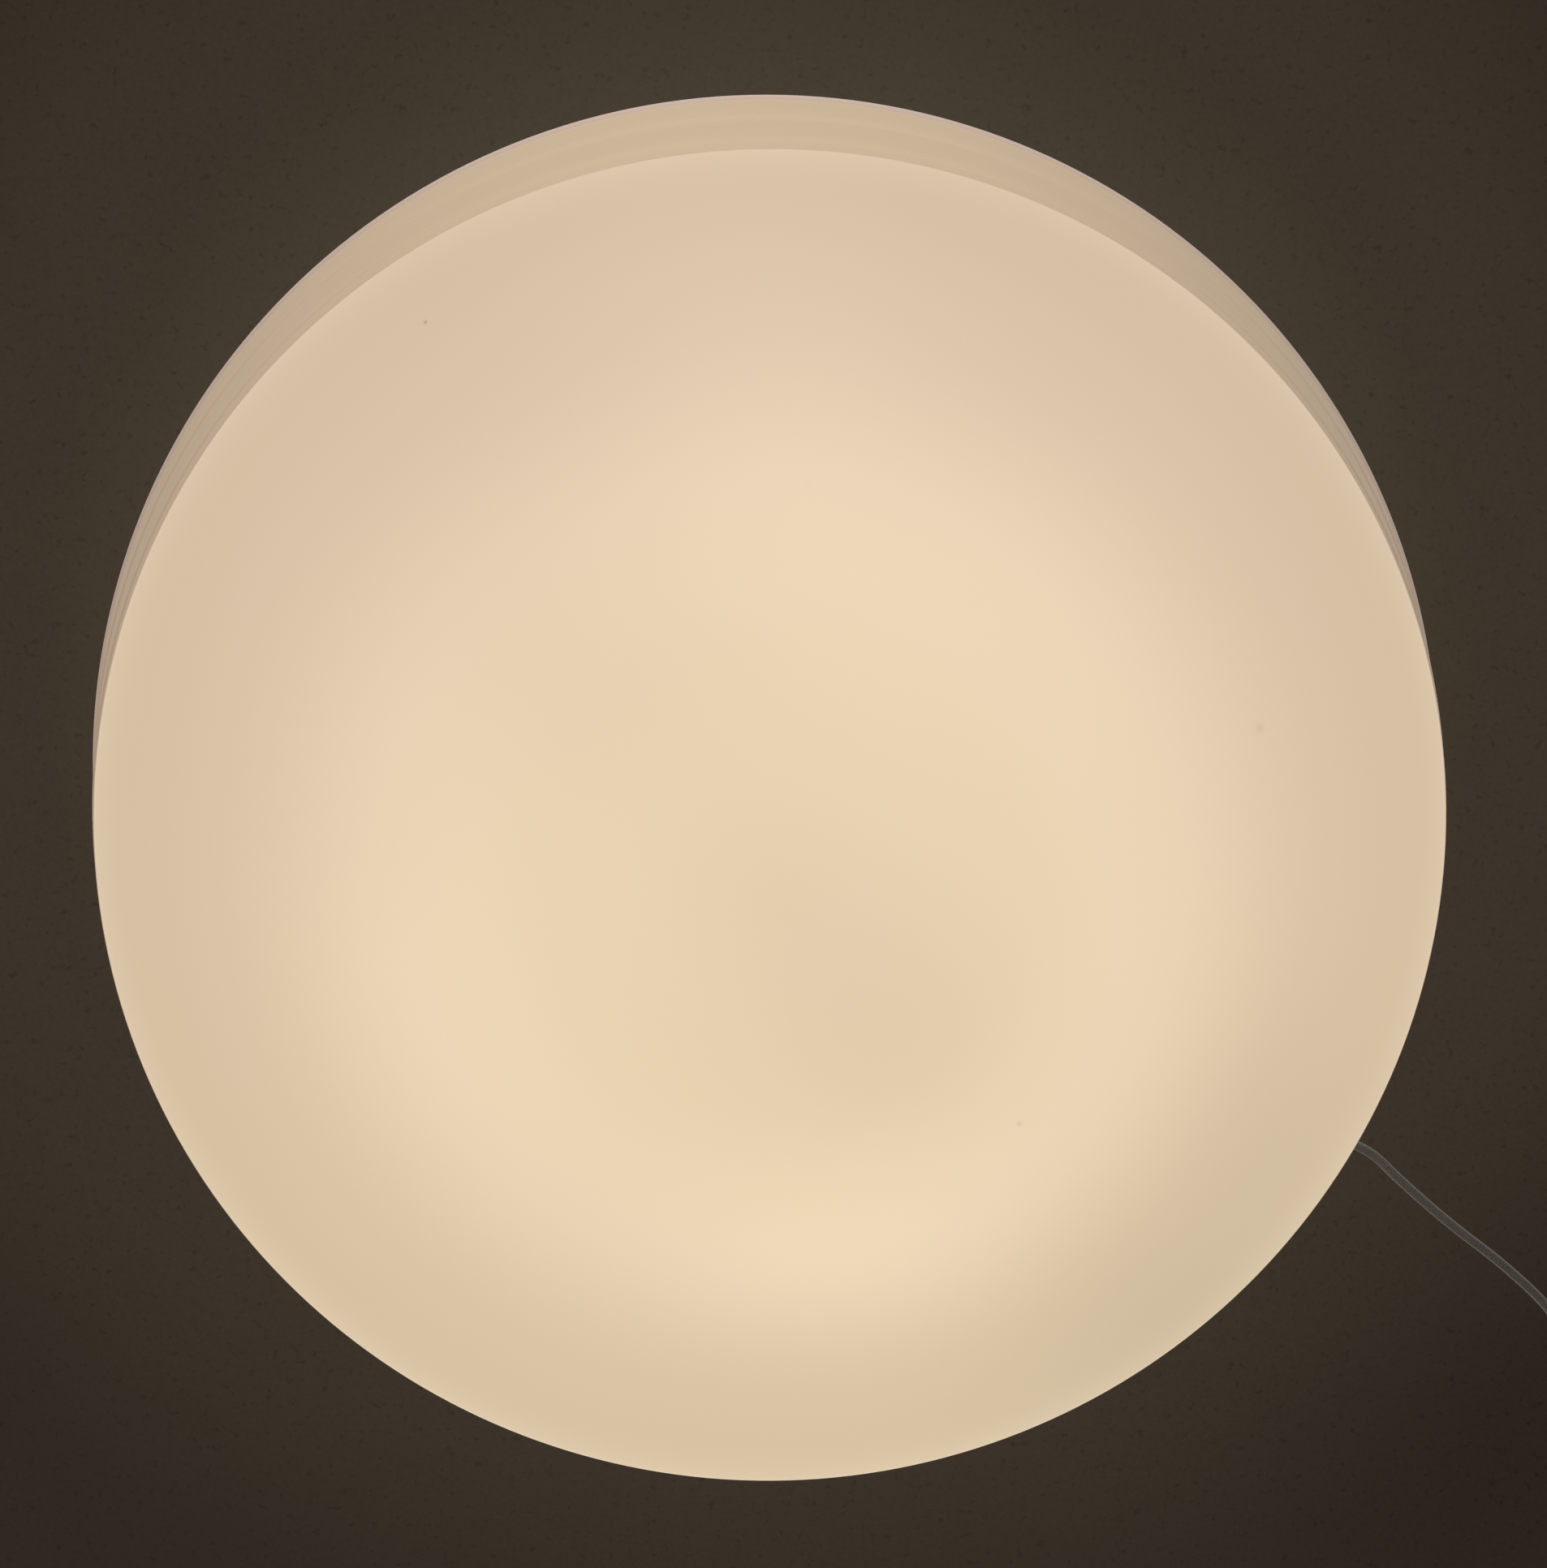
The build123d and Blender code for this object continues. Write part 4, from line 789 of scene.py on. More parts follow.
def made_plain(piece, outward=True):
    """The modifiers' result as the piece's own mesh, with its faces outward."""
    graph = bpy.context.evaluated_depsgraph_get()
    graph.update()
    mesh = bpy.data.meshes.new_from_object(piece.evaluated_get(graph), depsgraph=graph)
    piece.modifiers.clear()
    piece.data = mesh
    if outward:
        shape = bmesh.new()
        shape.from_mesh(mesh)
        bmesh.ops.recalc_face_normals(shape, faces=shape.faces)
        shape.to_mesh(mesh)
        shape.free()
    return piece


def through_tree(piece, tree_name, inputs):
    """Runs a piece through a geometry tree; its inputs are set by their identifiers."""
    tree = tree_named(tree_name)
    modifier = piece.modifiers.new(tree_name, "NODES")
    modifier.node_group = tree
    names = {item.name: item.identifier for item in tree.interface.items_tree if item.in_out == "INPUT"}
    for name, value in inputs.items():
        modifier[names[name]] = value
    return made_plain(piece)


def turned(name, section, material, segments=96, sharp=32.0, pitch=1.0, depth=0.0, ribs=1, rib_depth=0.0,
           place=None, threads=None, ribbed=None):
    """Turns a section of (radius, level) points; threads and ribbed say how much of each a point carries."""
    mesh = bpy.data.meshes.new(name)
    edges = [(i, i + 1) for i in range(len(section) - 1)]
    mesh.from_pydata([(radius, 0.0, level) for radius, level in section], edges, [])
    for attribute, share in (("thread", threads), ("rib", ribbed)):
        values = mesh.attributes.new(attribute, "FLOAT", "POINT").data
        for point, (radius, level) in zip(values, section):
            point.value = share(radius, level) if share else 0.0
    piece = through_tree(new_piece(name, mesh), "turned", {
        "Segments": segments, "Thread Pitch": pitch, "Thread Depth": depth, "Ribs": ribs,
        "Rib Depth": rib_depth, "Sharp Angle": math.radians(sharp), "Material": finish(material),
    })
    if place is not None:
        piece.data.transform(place)
    return piece


def outward_place(angle):
    """Lays a piece turned about the upright axis along the line that runs out at the angle."""
    laid = Matrix.Rotation(math.radians(angle), 4, "Z") @ Matrix.Rotation(math.pi / 2, 4, "Y")
    return Matrix.Translation((0, 0, BULB_LEVEL)) @ laid


def joined(name, piece, places):
    """Copies of a piece at several places, as one mesh."""
    shape = bmesh.new()
    for place in places:
        copy = piece.data.copy()
        copy.transform(place)
        shape.from_mesh(copy)
        bpy.data.meshes.remove(copy)
    mesh = piece.data.copy()
    mesh.name = name
    shape.to_mesh(mesh)
    shape.free()
    bpy.data.objects.remove(piece)
    return new_piece(name, mesh)


def notched(piece, angle, centre):
    """Cuts a cord's slot, round at its lower end, out of the ceiling edge of a cup."""
    half, depth, reach, above = 3.25 * MM, 13 * MM, 60 * MM, 4 * MM
    outline = [(-half, above), (-half, half - depth)]
    outline += [(half * math.cos(a), half - depth + half * math.sin(a))
                for a in [math.pi + math.pi * i / 12 for i in range(1, 12)]]
    outline += [(half, half - depth), (half, above)]
    shape = bmesh.new()
    near, far = ([shape.verts.new((out, x, z)) for x, z in outline] for out in (0.0, reach))
    shape.faces.new(near)
    shape.faces.new(far[::-1])
    for i, j in zip(range(-1, len(outline) - 1), range(len(outline))):
        shape.faces.new((near[j], near[i], far[i], far[j]))
    bmesh.ops.recalc_face_normals(shape, faces=shape.faces)
    mesh = bpy.data.meshes.new("slot cutter")
    shape.to_mesh(mesh)
    shape.free()
    mesh.transform(Matrix.Translation((*centre, 0)) @ Matrix.Rotation(math.radians(angle), 4, "Z"))
    cutter = new_piece("slot_cutter", mesh)
    modifier = piece.modifiers.new("slot", "BOOLEAN")
    modifier.operation = "DIFFERENCE"
    modifier.solver = "EXACT"
    modifier.object = cutter
    made_plain(piece)
    bpy.data.objects.remove(cutter)
    return piece


def softened(node, edge):
    """A merged copy of a CAD node with its edges taken off, as a file or a die leaves them."""
    source = frame["nodes"][node]
    mesh = source.data.copy()
    shape = bmesh.new()
    shape.from_mesh(mesh)
    bmesh.ops.remove_doubles(shape, verts=shape.verts, dist=MERGED)
    bmesh.ops.dissolve_limit(shape, angle_limit=math.radians(0.6), verts=shape.verts, edges=shape.edges)
    for face in shape.faces:
        face.smooth = True
    for each in shape.edges:
        each.smooth = each.is_manifold and each.calc_face_angle(0.0) < SHARP
    shape.to_mesh(mesh)
    shape.free()
    piece = new_piece(f"{node}_finished", mesh)
    mesh.materials.clear()
    mesh.materials.append(finish(slot_of(node)))
    if edge > 0:
        bevel = piece.modifiers.new("edges", "BEVEL")
        bevel.width = edge
        bevel.segments = 2
        bevel.limit_method = "ANGLE"
        bevel.angle_limit = SHARP
        bevel.use_clamp_overlap = True
        bevel.harden_normals = False
        made_plain(piece, outward=False)
    return piece


def slot_of(node):
    """The material slot that the record gives a node."""
    for row in frame["record"]["subparts"]:
        if row["node"] == node:
            return row["material_slot"]
    raise RuntimeError(f"the record has no node {node}")


def hand_over(piece, body, *nodes, slot=None):
    """A finished piece rides on its body and stands for its nodes."""
    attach(piece, body)
    if nodes:
        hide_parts(*nodes)
    slot = slot or (slot_of(nodes[0]) if nodes else None)


def hand_over_softened(body, **edges):
    """Hands over a softened copy of each node; its number is the width of its edges in millimetres."""
    for node, edge in edges.items():
        hand_over(softened(node, edge * MM), body, node)


# ---------------------------------------------------------------- operators


class PENDANT_OT_opal_shade(Operator):
    """Turn the opal glass: a domed face, a stepped flaring wall, a shoulder and a beaded neck"""

    bl_idname = "pendant.opal_shade"
    bl_label = "Opal shade"

    def execute(self, context):
        shade = context.scene.pendant_shade
        rim, lip, glass = shade.rim_radius, shade.lip_radius, shade.glass_wall
        step = 1 * MM
        rim_level = SHADE_RIM_LEVEL
        apex = rim_level - shade.dome_depth
        lip_level = rim_level + shade.wall_height
        neck_foot = lip_level + 20 * MM
        neck_top = neck_foot + 13 * MM
        ball = (rim**2 + shade.dome_depth**2) / (2 * shade.dome_depth)

        def dome(radius, of_ball, lowest):
            return lowest + of_ball - math.sqrt(of_ball**2 - radius**2)

        flare = (lip - rim - 2 * step) / shade.wall_height
        lower = rim + flare * 19 * MM
        upper = rim + flare * 66 * MM + step
        lip_foot = lip - flare * 9 * MM
        outer_neck = shade.neck_radius + glass
        shoulder = lip_level + 0.62 * 20 * MM
        bead_top = neck_top - step
        bead_foot = bead_top - 6 * MM
        face = arc((0.0, apex), (rim / 2, dome(rim / 2, ball, apex)), (rim, rim_level), 72)
        outside = rounded(face[:-1] + [
            (rim, rim_level, shade.crease),
            (lower, rim_level + 19 * MM, 0.5 * MM),
            (lower + step, rim_level + 20 * MM, 0.9 * MM),
            (upper, rim_level + 66 * MM, 0.5 * MM),
            (upper + step, rim_level + 67 * MM, 0.9 * MM),
            (lip_foot, lip_level - 9 * MM, 1.2 * MM),
            (lip, lip_level - 4.5 * MM, 1.6 * MM),
            (lip, lip_level, 1.5 * MM),
        ] + arc((lip, lip_level), ((lip + outer_neck) / 2, shoulder), (outer_neck, neck_foot), 22)[1:-1] + [
            (outer_neck, neck_foot, 2.5 * MM),
            (outer_neck, neck_top, 0.9 * MM),
            (shade.neck_radius, neck_top, 0.9 * MM),
            (shade.neck_radius, bead_top, 0.6 * MM),
            (shade.neck_radius - 2.5 * MM, bead_top - 1.25 * MM, 1.2 * MM),
            (shade.neck_radius - 2.5 * MM, bead_foot + 1.25 * MM, 1.2 * MM),
            (shade.neck_radius, bead_foot, 0.6 * MM),
            (shade.neck_radius, neck_foot - glass, 2.0 * MM),
        ], 6)
        inner_ball = ball - glass
        inner_rim = rim - glass
        inner_rim_level = dome(inner_rim, inner_ball, apex + glass)
        foot = inner_rim - glass
        under = arc((shade.neck_radius, neck_foot - glass),
                    ((lip + shade.neck_radius) / 2 - glass, shoulder - glass),
                    (lip - 2 * glass, lip_level - glass), 22)
        inner_face = arc((foot, dome(foot, inner_ball, apex + glass)),
                         (rim / 2, dome(rim / 2, inner_ball, apex + glass)), (0.0, apex + glass), 60)
        inside = rounded(under[1:-1] + [
            (lip - 2 * glass, lip_level - glass, 1.5 * MM),
            (lip - glass - step, lip_level - 2 * glass, 1.5 * MM),
            (inner_rim, inner_rim_level + glass, 1.5 * MM),
        ] + inner_face[:-1] + [(0.0, apex + glass)], 4)
        section = outside[:-1] + [(shade.neck_radius, neck_foot - glass)] + inside
        piece = turned("shade_glass", section, "opal_glass", shade.segments, 60.0)
        hand_over(piece, "shade", "opal_shade")
        return {"FINISHED"}


def nurbs_flex(name, points, diameter, material):
    """A round flex on one open, smooth spline with the route's points as its control points."""
    curve = bpy.data.curves.new(name, "CURVE")
    curve.dimensions = "3D"
    spline = curve.splines.new("NURBS")
    spline.points.add(len(points) - 1)
    for point, place in zip(spline.points, points):
        point.co = (*place, 1.0)
    spline.order_u = 3
    spline.use_endpoint_u = True
    spline.resolution_u = 10
    curve.bevel_depth = diameter / 2
    curve.bevel_resolution = 5
    curve.use_fill_caps = True
    curve.materials.append(finish(material))
    piece = bpy.data.objects.new(name, curve)
    bpy.context.scene.collection.objects.link(piece)
    return piece


class PENDANT_OT_ceiling_flex(Operator):
    """Lay the flex under the ceiling, from the cup to the rose"""

    bl_idname = "pendant.ceiling_flex"
    bl_label = "Ceiling flex"

    def execute(self, context):
        flex = context.scene.pendant_flex
        piece = nurbs_flex("ceiling_flex", FLEX_ROUTE, flex.diameter, "white_pvc")
        hand_over(piece, "ceiling_fittings", "flex_ceiling_run")
        hand_over_softened("ceiling_fittings", flex_clips=0.4, clip_nails=0.25)
        return {"FINISHED"}


class PENDANT_OT_hanging_flex(Operator):
    """Hang the flex that carries the lamp"""

    bl_idname = "pendant.hanging_flex"
    bl_label = "Hanging flex"

    def execute(self, context):
        flex = context.scene.pendant_flex
        drop = EXIT_PIVOT_LEVEL - LAMP_PIVOT_LEVEL
        points = [(0.0, 0.0, EXIT_PIVOT_LEVEL - drop * share) for share in (0.0, 0.3, 0.7, 1.0)]
        piece = nurbs_flex("hanging_flex", points, flex.diameter, "white_pvc")
        hand_over(piece, "hanging_flex", "drop_flex")
        return {"FINISHED"}


def cup_section(radius, wall, depth, rounding, hole, gap=0.5 * MM):
    """A thin pressed cup, open at the ceiling, with a rolled upper edge and a hole in its foot."""
    inner = radius - wall
    corners = [
        (hole, -depth, 0.3 * MM),
        (radius, -depth, rounding),
        (radius, -gap, wall * 0.45),
        (inner, -gap, wall * 0.45),
        (inner, -depth + wall, rounding - wall),
        (hole, -depth + wall, 0.3 * MM),
    ]
    return rounded(corners, 9, closed=True)


def cord_grip(name, foot, head, mouth, pivot, tail, barrel, throat_end, ribbed):
    """A turned cord grip with ribs between two levels, whose mouth is belled for the swinging flex."""
    grip, bell, throat, bore = 8.5 * MM, 5.6 * MM, 3.2 * MM, 2.55 * MM
    down = -1.0 if mouth < pivot else 1.0
    section = rounded([
        (barrel, foot, 0.4 * MM),
        (grip, foot, 0.6 * MM),
        (grip, mouth - down * 4 * MM, 1.5 * MM),
        (bell + 1.2 * MM, mouth, 0.5 * MM),
        (bell, mouth, 0.5 * MM),
        (throat, pivot, 1.5 * MM),
        (throat, throat_end, 0.4 * MM),
        (bore, throat_end - down * 1 * MM, 0.4 * MM),
        *head,
        *tail,
    ], 4, closed=True)
    return turned(name, section, "white_nylon", 144, 35.0, ribs=18, rib_depth=-0.35 * MM,
                  ribbed=band(8.2 * MM, *ribbed))


class PENDANT_OT_ceiling_cup(Operator):
    """Make the suspension cup at the ceiling, its cord grip and its screws"""

    bl_idname = "pendant.ceiling_cup"
    bl_label = "Ceiling cup"

    def execute(self, context):
        body = "ceiling_fittings"
        section = cup_section(45.4 * MM, 1.2 * MM, 46 * MM, 9 * MM, 6.55 * MM)
        cup = turned("suspension_cup_spun", section, "white_enamel", 160, 40.0)
        notched(cup, CORD_ANGLE, (0.0, 0.0))
        hand_over(cup, body, "suspension_cup")
        mouth = EXIT_PIVOT_LEVEL - 5 * MM
        top = -46 * MM + 1.2 * MM + 6 * MM
        grip = cord_grip(
            "exit_grip_turned", -46 * MM, [(2.55 * MM, top - 12 * MM, 1.5 * MM)], mouth, EXIT_PIVOT_LEVEL,
            [(5.5 * MM, top, 0.3 * MM), (6.5 * MM, top, 0.3 * MM)], 6.5 * MM, -64.8 * MM,
            (mouth + 7 * MM, -49 * MM))
        hand_over(grip, body, "exit_grip")
        hand_over_softened(body, suspension_base=0.3, cup_screws=0.3, exit_grip_screw=0.15, exit_grip_nut=0.4)
        return {"FINISHED"}


class PENDANT_OT_ceiling_rose(Operator):
    """Make the ceiling rose: its cover, base, terminals and clamp"""

    bl_idname = "pendant.ceiling_rose"
    bl_label = "Ceiling rose"

    def execute(self, context):
        depth, wall, radius = 34 * MM, 1.4 * MM, 45.8 * MM
        inner = radius - wall
        section = rounded([
            (0.0, -depth), (radius, -depth, 10 * MM), (radius, -0.5 * MM, 0.6 * MM), (inner, -0.5 * MM, 0.6 * MM),
            (inner, -depth + wall, 8.6 * MM), (0.0, -depth + wall),
        ], 9)
        cover = turned("rose_cover_moulded", section, slot_of("rose_cover"), 160, 40.0,
                       place=Matrix.Translation((*ROSE_CENTRE, 0)))
        angle = math.degrees(math.atan2(FLEX_ROUTE[-2][1] - ROSE_CENTRE[1], FLEX_ROUTE[-2][0] - ROSE_CENTRE[0]))
        notched(cover, angle, ROSE_CENTRE)
        hand_over(cover, "rose_cover", "rose_cover")
        hand_over_softened("ceiling_fittings", rose_base=0.4, rose_terminal_block=0.8,
                           rose_terminal_screws=0.3, rose_cord_clamp=0.4, rose_clamp_screws=0.4)
        return {"FINISHED"}


class PENDANT_OT_gallery(Operator):
    """Spin the gallery pan and the top cap, and set the stem, the springs and their rivets"""

    bl_idname = "pendant.gallery"
    bl_label = "Gallery"

    def execute(self, context):
        fittings = context.scene.pendant_fittings
        top = PAN_LEVEL + PAN_WALL
        radius, wall, skirt = 169.2 * MM, PAN_WALL, 5 * MM
        bead = arc((98 * MM, PAN_LEVEL), (106 * MM, PAN_LEVEL + 3 * MM), (114 * MM, PAN_LEVEL), 15)
        crown = arc((114.6 * MM, top), (106 * MM, top + 3 * MM), (97.4 * MM, top), 15)
        section = rounded(
            [(5.05 * MM, PAN_LEVEL, 0.3 * MM)] + bead + [
                (radius - wall, PAN_LEVEL, 1.2 * MM),
                (radius - wall, PAN_LEVEL - skirt, 0.5 * MM),
                (radius, PAN_LEVEL - skirt, 0.5 * MM),
                (radius, top, 2.2 * MM),
            ] + crown + [(5.05 * MM, top, 0.3 * MM)], 7, closed=True)
        pan = turned("gallery_pan_spun", section, "white_enamel", 192, 40.0)
        through_tree(pan, "pierced", {
            "Count": fittings.vents, "Circle": fittings.vent_circle, "Hole": fittings.vent_radius,
            "Start": 0.0, "Level": top, "Depth": 8 * MM,
            "Sharp Angle": math.radians(40.0), "Material": finish("white_enamel"),
        })
        hand_over(pan, "lamp", "gallery_pan")
        section = rounded([
            (5.05 * MM, CAP_TOP_LEVEL - 1 * MM, 0.3 * MM), (12.5 * MM, CAP_TOP_LEVEL - 1 * MM, 2 * MM),
            (45 * MM, top + 3 * MM, 3 * MM), (45 * MM, top, 0.3 * MM), (46 * MM, top, 0.3 * MM),
            (46 * MM, top + 4 * MM, 3.5 * MM), (12.5 * MM, CAP_TOP_LEVEL, 2.5 * MM),
            (5.05 * MM, CAP_TOP_LEVEL, 0.3 * MM),
        ], 7, closed=True)
        hand_over(turned("top_cap_spun", section, "white_enamel", 128, 40.0), "lamp", "top_cap")
        stem_top, stem_foot = CAP_TOP_LEVEL + 8 * MM, -369.5 * MM
        outer = [(4.45 * MM, level) for level in
                 levels(stem_foot + 0.6 * MM, stem_top - 0.6 * MM, fittings.stem_pitch / 6)]
        section = [(3.2 * MM, stem_foot), (4.0 * MM, stem_foot)] + outer
        section += [(4.0 * MM, stem_top), (3.2 * MM, stem_top), (3.2 * MM, stem_foot)]
        stem = turned("stem_threaded", section, "zinc", 32, 60.0, pitch=fittings.stem_pitch, depth=0.55 * MM,
                      threads=band(4.4 * MM, -1.0, 0.0))
        hand_over(stem, "lamp", "stem_tube")
        head = rounded([(0.0, 1.2 * MM), (1.6 * MM, 1.1 * MM, 1.2 * MM), (3 * MM, 0.1 * MM, 0.4 * MM),
                        (3 * MM, 0.0), (0.0, 0.0)], 5)
        # Two rivets hold each spring, with a head above the pan and one below it
        heads = [
            Matrix.Translation((outward, 0, level)) @ Matrix.Rotation(flip, 4, "X")
            for outward in (0.0, 11 * MM)
            for level, flip in ((top, 0.0), (PAN_LEVEL - 0.6 * MM, math.pi))]
        rivets = joined("spring_rivets_domed", turned("rivet", head, "zinc", 24, 50.0), heads)
        through_tree(rivets, "ring", {
            "Count": len(SPRING_ANGLES), "Radius": 118 * MM, "Start": math.radians(SPRING_ANGLES[0]),
            "Material": finish("zinc"),
        })
        hand_over(rivets, "lamp", "spring_rivets")
        mouth = LAMP_PIVOT_LEVEL + 5 * MM
        grip = cord_grip(
            "lamp_cord_grip_turned", CAP_TOP_LEVEL, [(2.55 * MM, stem_top, 0.3 * MM)], mouth, LAMP_PIVOT_LEVEL,
            [(5.05 * MM, stem_top, 0.3 * MM)], 5.05 * MM, LAMP_PIVOT_LEVEL - 3.2 * MM,
            (CAP_TOP_LEVEL + 3 * MM, mouth - 7 * MM))
        hand_over(grip, "lamp", "lamp_cord_grip")
        hand_over_softened("lamp", shade_springs=0.12, stem_nuts=0.35, stem_washers=0.2, lamp_grip_screw=0.15)
        return {"FINISHED"}


class PENDANT_OT_cluster(Operator):
    """Make the hub, its cover and the three lampholders"""

    bl_idname = "pendant.cluster"
    bl_label = "Hub and lampholders"

    def execute(self, context):
        hand_over_softened("lamp", cluster_hub=0.4, hub_cover=0.5, hub_cover_screw=0.3, terminal_block=0.0,
                           earth_screw=0.3, holder_nuts=0.3)
        floor = HUB_INRADIUS + 9 * MM
        section = rounded([
            (5.05 * MM, HUB_INRADIUS, 0.3 * MM), (15.5 * MM, HUB_INRADIUS, 0.8 * MM),
            (15.5 * MM, floor + 1 * MM, 1.5 * MM), (19 * MM, floor + 4 * MM, 1.5 * MM),
            (19 * MM, 48 * MM), (19 * MM, 49 * MM), (19 * MM, 66 * MM), (19 * MM, 67 * MM),
            (19 * MM, HOLDER_MOUTH - 6 * MM, 0.4 * MM), (18 * MM, HOLDER_MOUTH - 6 * MM, 0.3 * MM),
            (18 * MM, HOLDER_MOUTH - 1 * MM, 0.8 * MM), (17 * MM, HOLDER_MOUTH, 0.8 * MM),
            (15.05 * MM, HOLDER_MOUTH, 0.4 * MM), (14.45 * MM, HOLDER_MOUTH - 3 * MM, 0.3 * MM),
            (14.45 * MM, floor + 2 * MM, 0.5 * MM), (5.05 * MM, floor + 2 * MM, 0.3 * MM),
        ], 5, closed=True)
        for number, angle in enumerate(BULB_ANGLES, start=1):
            holder = turned(f"lampholder_{number}_moulded", section, "white_thermoplastic", 192, 35.0, ribs=32,
                            rib_depth=-0.5 * MM, ribbed=band(18.9 * MM, 48.5 * MM, 66.5 * MM),
                            place=outward_place(angle))
            hand_over(holder, "lamp", f"lampholder_{number}")
        pitch = context.scene.pendant_bulbs.cap_pitch
        start, end = BULB_BASE + 7 * MM, HOLDER_MOUTH - 4 * MM
        inner = [(13.55 * MM, level) for level in levels(end - 0.3 * MM, start + 0.3 * MM, pitch / 10)]
        section = [(14.4 * MM, start), (14.4 * MM, end), (14.0 * MM, end)] + inner
        section += [(14.0 * MM, start), (14.4 * MM, start)]
        sleeve = turned("holder_sleeve", section, "brass", 64, 50.0, pitch=pitch, depth=0.5 * MM,
                        threads=lambda radius, level: float(radius < 13.9 * MM))
        sleeves = joined("holder_sleeves_rolled", sleeve, [outward_place(angle) for angle in BULB_ANGLES])
        hand_over(sleeves, "lamp", "holder_sleeves")
        return {"FINISHED"}


class PENDANT_OT_bulbs(Operator):
    """Make the three bulbs: a rolled cap, a finned skirt and a frosted globe each"""

    bl_idname = "pendant.bulbs"
    bl_label = "Bulbs"

    def execute(self, context):
        bulbs = context.scene.pendant_bulbs
        pitch = bulbs.cap_pitch
        base = BULB_BASE
        shell_start = base + 6 * MM
        shell_end = shell_start + pitch * 6
        skirt_start = shell_end + 2.6 * MM
        skirt_end = skirt_start + 30 * MM
        globe = 30 * MM
        centre = BULB_TIP - globe
        skirt_edge = math.sqrt(globe**2 - (centre - skirt_end) ** 2)
        shell_radius = 12.4 * MM
        shell = [(shell_radius, level) for level in
                 levels(shell_start + 0.4 * MM, shell_end - 0.4 * MM, pitch / 12)]
        cap = [(0.0, base + 4.2 * MM), (9.0 * MM, base + 4.2 * MM), (9.8 * MM, base + 4.6 * MM),
               (11.8 * MM, shell_start - 0.3 * MM), (12.2 * MM, shell_start)] + shell
        cap += [(12.5 * MM, shell_end), (13.2 * MM, shell_end + 0.4 * MM), (13.2 * MM, skirt_start),
                (0.0, skirt_start)]

        def faded(level, low, high, reach):
            return max(0.0, min(1.0, min(level - low, high - level) / reach))

        def rolled(radius, level):
            on_shell = abs(radius - shell_radius) <= 0.01 * MM
            return faded(level, shell_start, shell_end, 0.6 * pitch) if on_shell else 0.0

        def finned(radius, level):
            on_side = radius >= 13.7 * MM
            return faded(level, skirt_start + 4 * MM, skirt_end - 2.5 * MM, 3 * MM) if on_side else 0.0

        glass = rounded([
            (0.0, base + 1.0 * MM), (4.6 * MM, base + 1.0 * MM, 0.3 * MM), (9.2 * MM, base + 4.0 * MM, 0.8 * MM),
            (9.2 * MM, base + 4.4 * MM), (0.0, base + 4.4 * MM)], 5)
        stud = rounded([
            (0.0, base), (3.4 * MM, base + 0.1 * MM, 0.8 * MM), (4.4 * MM, base + 0.9 * MM, 0.4 * MM),
            (4.4 * MM, base + 1.2 * MM), (0.0, base + 1.2 * MM)], 6)
        neck, steps = 13.8 * MM, 18
        flare_start = skirt_start + 3.4 * MM
        skirt = rounded([(0.0, skirt_start), (neck, skirt_start, 0.4 * MM), (neck, skirt_start + 3 * MM)], 4)
        for t in (i / steps for i in range(steps + 1)):
            swell = neck + (skirt_edge - neck) * (0.36 * t + 0.64 * t * t)
            skirt.append((swell, flare_start + (skirt_end - flare_start) * t))
        skirt.append((0.0, skirt_end))

        side = math.sqrt(0.5)
        inner = globe - 1.5 * MM
        inner_edge = math.sqrt(inner**2 - (centre - skirt_end) ** 2)
        crown = arc((skirt_edge, skirt_end), (side * globe, centre + side * globe), (0.0, BULB_TIP), 28)
        hollow = arc((0.0, BULB_TIP - 1.5 * MM), (side * inner, centre + side * inner), (inner_edge, skirt_end), 20)
        for number, angle in enumerate(BULB_ANGLES, start=1):
            body = f"bulb_{number}"
            place = outward_place(angle)
            hand_over(turned(f"{body}_cap_rolled", cap, "bulb_cap", 72, 50.0, pitch=pitch, depth=0.6 * MM,
                             threads=rolled, place=place), body, f"{body}_cap")
            hand_over(turned(f"{body}_cap_glass", glass, "black_glass", 48, 40.0, place=place), body,
                      slot="bulb_cap")
            hand_over(turned(f"{body}_cap_stud", stud, "brass", 48, 40.0, place=place), body, slot="brass")
            hand_over(turned(f"{body}_skirt_finned", skirt, "bulb_skirt", 288, 40.0, ribs=bulbs.fins,
                             rib_depth=-0.7 * MM, ribbed=finned, place=place), body, f"{body}_skirt")
            hand_over(turned(f"{body}_globe_blown", crown + hollow + [(skirt_edge, skirt_end)], "bulb_globe",
                             96, 60.0, place=place), body, f"{body}_globe")
        return {"FINISHED"}


class PENDANT_OT_plain_nodes(Operator):
    """Give every CAD node that still shows the finish of its slot"""

    bl_idname = "pendant.plain_nodes"
    bl_label = "Other fittings"

    def execute(self, context):
        for name, node in frame["nodes"].items():
            material = finish(slot_of(name))
            node.data.materials.clear()
            node.data.materials.append(material)
        return {"FINISHED"}


# ---------------------------------------------------------------- stage


def flat_square(name, half, level, upward=True):
    """A square sheet of the stage, facing up or down."""
    corners = [(x * half, y * half, level) for x, y in ((-1, -1), (1, -1), (1, 1), (-1, 1))]
    mesh = bpy.data.meshes.new(name)
    mesh.from_pydata(corners, [], [(0, 1, 2, 3) if upward else (3, 2, 1, 0)])
    piece = new_piece(name, mesh)
    return piece


